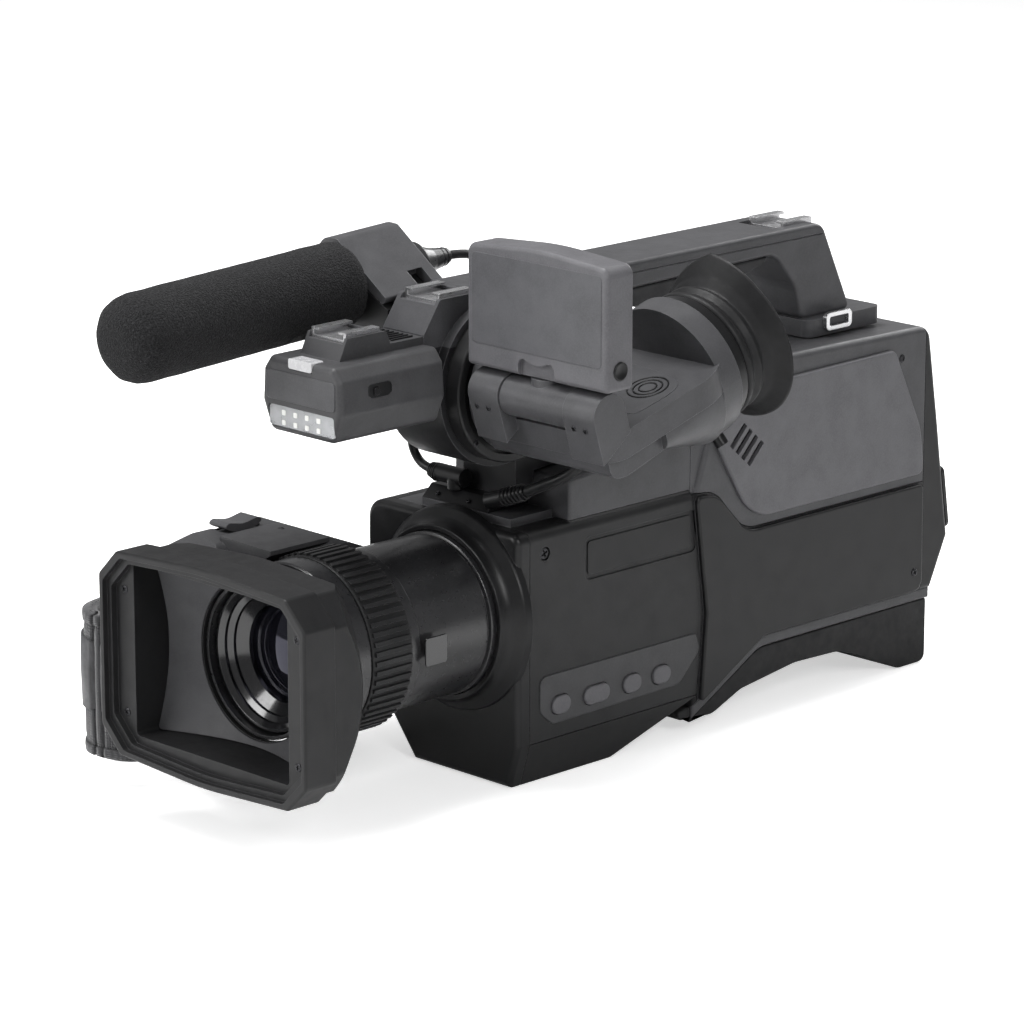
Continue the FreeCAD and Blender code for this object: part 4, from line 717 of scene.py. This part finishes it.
# ---------------------------------------------------------------- soft pieces
def make_windscreen():
    """Open-cell foam sleeve: rounded nose, slightly uneven skin, and a lip that turns in behind."""
    radius, front, rear = 19.8, -153.5, -21.0
    shoulder, tail = front + 14, rear - 4
    profile = [(front, 0.05), (front + 0.1, 5), (front + 0.8, 10.5), (front + 2.6, 14.5), (front + 5.6, 17.6),
               (front + 9.5, 19.2), (shoulder, radius)]
    rows = 36
    for row in range(1, rows):
        profile.append((shoulder + (tail - shoulder) * row / rows, radius))
    profile += [(tail, radius - 0.2), (rear - 1.4, radius - 1.4), (rear - 0.1, radius - 3.6),
                (rear + 0.3, radius - 6), (rear, 11.2), (rear - 3, 10.7)]
    skin_from, unevenness = 12, 0.22
    steps = 96
    points = []
    for y, reach in profile:
        for angle in turn_angles(steps):
            side, up = math.sin(angle), math.cos(angle)
            uneven = 0
            if reach > skin_from:
                uneven = unevenness * noise.noise(Vector((side * 3, y / 9, up * 3)))
            points.append(mic_at((reach + uneven) * side, y, (reach + uneven) * up))
    foam_piece = add_piece("windscreen_foam", points, grid_faces(len(profile), steps), "foam")
    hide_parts("windscreen")


def cup_rim(angle):
    """How far back the cup reaches at an angle from straight up: a pointed horn above, lower inside."""
    horn, horn_spread = 41.8, 0.75
    away = abs(math.remainder(angle, 2 * math.pi))
    fall = 5.5 if math.sin(angle) < 0 else 1.6
    return horn - fall * min(1.0, away / horn_spread) ** 0.8


def make_eyecup():
    """The rubber eyecup: bellows at its foot, then a flared cup that rises to a pointed horn."""
    rear, foot, slope = 41.0, 31.2, 1.5
    bellows = [(19.9, 29.4), (20.4, 30.6), (22.4, 31.0), (24, 29.8), (25.2, 28.6), (26.6, 28.8),
               (28, 30.2), (29.6, 30.4), (30.4, 29.0), (31.4, 28.6), (32.4, 29.0), (33.4, foot - 1),
               (34.6, foot)]
    inner = [(35.2, 27.4), (30, 26.2), (24, 26.4)]
    steps, cone_rows, start = 128, 8, 35.0
    columns = []
    for angle in turn_angles(steps):
        rim = cup_rim(angle)
        column = list(bellows)
        for row in range(1, cone_rows + 1):
            y = start + (rim - start) * row / cone_rows
            column.append((y, foot + (y - start) * slope))
        lip_y, lip_radius = column[-1]
        column.append((lip_y + 0.4, lip_radius - 0.3))
        column.append((lip_y + 0.5, lip_radius - 1.0))
        for row in range(cone_rows, 0, -1):
            y = start + (rim - start) * row / cone_rows
            column.append((y + 0.6, foot - 1.2 + (y - start) * slope))
        columns.append(column + inner)
    rows = len(columns[0])
    eye_x, eye_z = FINDER_EYE
    points = []
    for row in range(rows):
        for step, angle in enumerate(turn_angles(steps)):
            y, radius = columns[step][row]
            side, up = radius * math.sin(angle), radius * math.cos(angle)
            points.append(finder_at(eye_x + side, rear + y, eye_z + up))
    cup = add_piece("eyecup_rubber", points, grid_faces(rows, steps), "cup_rubber", "viewfinder")
    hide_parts("eyecup")


# The strap's middle line seen from above, from its front anchor round the hand to its rear anchor.
STRAP_PATH = [(-86, -161), (-88, -168), (-98, -171.5), (-110, -172), (-120, -164), (-123.4, -146),
              (-123.6, -120), (-122, -96), (-119.5, -70), (-116, -50), (-110, -34), (-104, -24),
              (-100.6, -20)]


def smooth_path(points, steps=8):
    """A path of plan points, rounded at each by quadratic curves between the middles of its runs."""
    points = [Vector(p) for p in points]
    middles = [(a + b) / 2 for a, b in zip(points, points[1:])]
    path = [points[0]]
    for index in range(1, len(points) - 1):
        start, corner, end = middles[index - 1], points[index], middles[index]
        for step in range(steps):
            t = step / steps
            path.append(start * (1 - t) ** 2 + corner * 2 * t * (1 - t) + end * t ** 2)
    path += [middles[-1], points[-1]]
    return path


def strap_band(name, section, shift, material, ripple=0.0):
    """A closed band swept along the strap: section gives (outward, z) at a fraction of the way."""
    path = smooth_path(STRAP_PATH)
    bend_ends = -100        # beyond this x the strap's outside always faces away from the casing
    points = []
    for index, place in enumerate(path):
        ahead = path[min(index + 1, len(path) - 1)] - path[max(index - 1, 0)]
        outward = Vector((ahead.y, -ahead.x)).normalized() * -1
        if outward.x > 0 and place.x < bend_ends:
            outward.negate()
        along = index / (len(path) - 1)
        for out, z in section(along):
            wave = ripple * noise.noise(Vector((index * 0.6, z * 0.12, 3)))
            spot = place + outward * (out + shift + wave)
            points.append(at(spot.x, spot.y, z))
    count = len(section(0.5))
    faces = grid_faces(len(path), count)
    faces += [tuple(range(count)), tuple(range((len(path) - 1) * count, len(path) * count))[::-1]]
    return add_piece(name, points, faces, material)


def pad_section(along):
    """The padded part across its width: fat in the middle, thin at its bound edges and at both ends."""
    bottom, top, half_thick, drawn_in = 11.0, 79.5, 3.1, 10
    swell = min(1.0, 6 * along, 7 * (1 - along)) * 0.55 + 0.45
    low, high = bottom + drawn_in * (1 - swell), top - drawn_in * (1 - swell)
    steps = 14
    shape = []
    for side in (1, -1):
        for step in range(steps):
            t = step / steps if side == 1 else 1 - step / steps
            z = low + (high - low) * t
            crown = math.sqrt(max(0.0, 1 - (2 * t - 1) ** 6))
            shape.append((side * half_thick * swell * crown, z))
    return shape


def cover_section(along):
    """The smooth cover strip that runs round the outside of the pad."""
    half = 19.0 - 5.0 * abs(2 * along - 1)
    low, middle, high = 50.0 - half, 50.0, 50.0 + half
    return [(-0.5, low), (0.7, low), (1.1, middle), (0.7, high), (-0.5, high)]


def binding_section(level):
    """The tape that wraps one edge of the pad, as a section function for that level."""
    half = 2.2
    low, high = level - half, level + half
    return lambda along: [(-3.3, low), (3.4, low), (3.6, level), (3.4, high), (-3.3, high)]


def make_hand_strap():
    """The hand strap: a knitted pad, bound along both edges, with a smooth strip over its outside."""
    pad_piece = strap_band("hand_strap_pad", pad_section, 0.0, "knit", ripple=0.4)
    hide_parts("hand_strap")
    strip = strap_band("hand_strap_cover", cover_section, 3.6, "strip")
    for name, level in (("low", 14.5), ("high", 76.0)):
        edge = strap_band(f"hand_strap_binding_{name}", binding_section(level), 0.0, "webbing")


def make_shoulder_pad():
    """The soft arched rest under the rear of the camera, with rounded edges and a pressed line."""
    front, rear, low = 69.0, 239.0, 32.4
    outline = rounded_outline([
        (front - 9, 12, 2), (front - 0.6, 13, 0), (front - 0.4, 6.6, 0), (front + 46.6, low - 0.6, 16),
        (rear - 1, low - 0.3, 1), (rear - 1, 0, 5), (rear - 21, 0, 12), (176, 18, 36), (142, 19, 36),
        (104, 14, 16), (84, 6, 12), (front - 8, 7.6, 3)])
    half = 35.0
    count = len(outline)
    points = [at(x, p.x, p.y) for x in (-half, half) for p in outline]
    faces = grid_faces(2, count) + [tuple(reversed(range(count))), tuple(range(count, 2 * count))]
    rest = add_piece("shoulder_pad_foam", points, faces, "pad", smooth=False)
    rounded = rest.modifiers.new("rounded edges", "BEVEL")
    rounded.width = 3.2 * MM
    rounded.segments = 4
    rounded.limit_method = "ANGLE"
    rounded.angle_limit = math.radians(50)
    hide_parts("shoulder_pad")


# ---------------------------------------------------------------- small details
# Each is a thin plate or ring between two levels: the face that it stands on, and a little proud of that.
def make_light_details():
    """Eight square lamp domes behind the window, the plate above it and the rim round the switch."""
    window_face, brow_face, side_face = -141.35, -142.0, 24.4
    half = 1.15
    for column in range(4):
        for row in range(2):
            x, z = -11.4 + column * 7.4, 177.6 + row * 4.4
            plate(f"lamp_dome_{column}_{row}", box_corners(x - half, z - half, x + half, z + half, 0.5),
                  window_face, window_face - 0.4, on_front, "led", bevel=0.1)
    plate("light_brow", box_corners(-22, 187.4, 22, 200.4, 2.2), brow_face, brow_face - 0.35, on_front,
          "casing_painted_light", bevel=0.3)
    plate("light_switch_rim", box_corners(-125.6, 190.8, -111.4, 197.6, 2.6), side_face, side_face + 0.75,
          on_left, "casing_dark", bevel=0.2)


def make_display_details():
    """The display's face inlay and the round boss on its side."""
    inset, knuckle_room = 3.4, 7
    boss_y, boss_z = 2, 20
    half = DISPLAY_HALF - inset
    low, high = DISPLAY_LOW + inset + knuckle_room, DISPLAY_HIGH - inset
    plate("display_inlay", box_corners(-half, low, half, high, 2.4),
          DISPLAY_FRONT + 0.1, DISPLAY_FRONT - 0.22, on_display, "display_face", "display", 0.15)
    lathe("display_side_boss", [(0.0, 4.2), (0.5, 4.1), (0.7, 3.4), (0.3, 3.0), (0.3, 0.02)],
          lambda x, y, z: on_display(DISPLAY_HALF + y, boss_z + z, boss_y + x), "casing_dark", "display")


def make_finder_details():
    """The inlay, the button and the rings on the viewfinder's deck."""
    deck = 4.2
    ring_x, ring_y, half_line = 96, 14, 0.3
    plate("deck_inlay", [(62, -8, 3), (108, -8, 6), (111, 26, 16), (66, 30, 8), (58, 10, 6)],
          deck - 0.1, deck + 0.35, on_deck, "casing_painted_light", "viewfinder", 0.25)
    plate("deck_button", box_corners(70, 1, 80, 5.6, 2.2), deck + 0.3, deck + 1.1, on_deck, "casing_dark",
          "viewfinder", 0.3)
    for index in range(3):
        radius = 4 + index * 2.6
        lathe(f"deck_ring_{index}", [(0.3, radius - half_line - 0.05), (0.75, radius - half_line),
                                     (0.75, radius + half_line), (0.3, radius + half_line + 0.05)],
              lambda x, y, z: finder_at(ring_x + x, ring_y + z, deck + y), "casing_dark", "viewfinder",
              40)


def make_casing_details():
    """Blank name plates, line rings in the lens, the step in the right-hand wall, and the deck's ribs."""
    plate("name_strip", box_corners(-5, 92.2, 63, 108, 2.2), SIDE_FACE - 0.75, SIDE_FACE - 0.25, on_left,
          "casing_dark", bevel=0.2)
    barrel_side = 41.0
    plate("barrel_badge", box_corners(-108, 71, -95, 84, 1.6), barrel_side, barrel_side + 0.9, on_left,
          "gloss", bevel=0.3)
    for index, (y, radius) in enumerate(((-155.2, 31.2), (-159.5, 29.4), (-163.2, 32.4))):
        lathe(f"lens_line_{index}", [(y, radius), (y - 0.35, radius + 0.1), (y - 0.35, radius + 0.35),
                                     (y, radius + 0.45)],
              lambda x, level, z: at(x, level, LENS_HEIGHT + z), "ring_line", steps=96)
    # A wall inside the step between the right side's front and rear covers.
    inner, step_low, step_high = -43.6, 20, 110.5
    plate("right_step_wall", [(inner, step_low, 0), (-46.2, step_low, 1), (-51.2, 29.5, 2), (-57.2, 41, 3),
                              (-57.4, 105, 3), (-54, step_high, 3), (inner, step_high, 0)],
          62, 70.9, on_front, "casing_dark", bevel=0.4)
    deck, half_rib, rib_pitch = 209.9, 0.6, 3
    for index in range(7):
        x = -9 + index * rib_pitch
        plate(f"deck_rib_{index}", box_corners(x - half_rib, -97, x + half_rib, -84, 0.5), deck, deck + 0.8,
              on_top, "casing_dark", bevel=0.2)


def make_strain_reliefs():
    """Ribs on the three tapered reliefs that the leads come out of."""
    ribbed_relief("light_relief_rib", (-25.5, -35.2, 133.8), (-30.2, -35.6, 134.6), 4.1, 3.0, 4)
    ribbed_relief("finder_relief_rib", (18, -37.2, 130.4), (30, -35.7, 134.7), 4.0, 3.5, 6)
    ribbed_relief("mic_relief_rib", (-45, -26, 227.1), (-45, -12, 227.7), 5.4, 3.7, 5)


make_screws()
make_leads()
make_windscreen()
make_eyecup()
make_hand_strap()
make_shoulder_pad()
make_light_details()
make_display_details()
make_finder_details()
make_casing_details()
make_strain_reliefs()


# ---------------------------------------------------------------- camera, light, floor
def make_camera():
    """A long lens, level, a little above and to the left front of the camera."""
    azimuth, elevation, distance = math.radians(45.3), math.radians(14.8), 2.04545
    target = Vector((0, -0.01382, 0.11589))
    offset = Vector((math.sin(azimuth) * math.cos(elevation), -math.cos(azimuth) * math.cos(elevation),
                     math.sin(elevation)))
    data = bpy.data.cameras.new("camera")
    data.sensor_width = 36
    data.lens = 158.2
    camera = bpy.data.objects.new("camera", data)
    camera.location = target + offset * distance
    camera.rotation_euler = (-offset).to_track_quat("-Z", "Y").to_euler()
    bpy.context.scene.collection.objects.link(camera)
    bpy.context.scene.camera = camera


def area_light(name, place, target, size, power):
    data = bpy.data.lights.new(name, "AREA")
    data.shape = "RECTANGLE"
    data.size, data.size_y = size
    data.energy = power
    light = bpy.data.objects.new(name, data)
    light.location = Vector(place)
    light.rotation_euler = (Vector(target) - light.location).to_track_quat("-Z", "Y").to_euler()
    bpy.context.scene.collection.objects.link(light)


def make_studio():
    """White behind, a soft and rather dim room around, and four large lights that shape the dark plastic."""
    world = bpy.data.worlds.new("studio")
    world.use_nodes = True
    tree = world.node_tree
    background = tree.nodes["Background"]
    seen = tree.nodes.new("ShaderNodeLightPath")
    strength = tree.nodes.new("ShaderNodeMapRange")
    room, backdrop = 0.30, 1.0
    strength.inputs["To Min"].default_value = room
    strength.inputs["To Max"].default_value = backdrop
    tree.links.new(seen.outputs["Is Camera Ray"], strength.inputs["Value"])
    tree.links.new(strength.outputs["Result"], background.inputs["Strength"])
    background.inputs["Color"].default_value = (0.99, 0.99, 1.0, 1)
    bpy.context.scene.world = world
    middle = (0, 0.02, 0.12)
    area_light("key", (1.5, -0.6, 1.0), middle, (0.6, 0.6), 13)
    area_light("top", (-0.3, -0.3, 1.7), middle, (0.9, 0.9), 38)
    area_light("front", (-0.7, -1.6, 0.8), middle, (0.7, 1.0), 20)
    area_light("rim", (-0.2, 1.6, 1.0), middle, (1.2, 0.5), 14)
    bpy.context.scene.view_settings.view_transform = "Standard"


def make_floor():
    """A pale floor that shows white to the camera but keeps a soft contact shadow."""
    mesh = bpy.data.meshes.new("floor")
    half, level = 6.0, cad_box[0][2] - 0.0003
    corners = [(x * half, y * half, level) for x, y in ((-1, -1), (1, -1), (1, 1), (-1, 1))]
    mesh.from_pydata(corners, [], [(0, 1, 2, 3)])
    floor = bpy.data.objects.new("floor", mesh)
    bpy.context.scene.collection.objects.link(floor)
    g = Graph("floor_white", (0.9, 0.9, 0.9), 0.8)
    g.colour(g.mix(g.noise(0.4, 2), (0.89, 0.89, 0.89), (0.91, 0.91, 0.91)))
    seen = g.add("ShaderNodeLightPath").outputs["Is Camera Ray"]
    g.shader.inputs["Emission Color"].default_value = (1, 1, 1, 1)
    g.link(g.math("MULTIPLY", seen, 0.55), g.shader.inputs["Emission Strength"])
    mesh.materials.append(g.material)


make_camera()
make_studio()
make_floor()
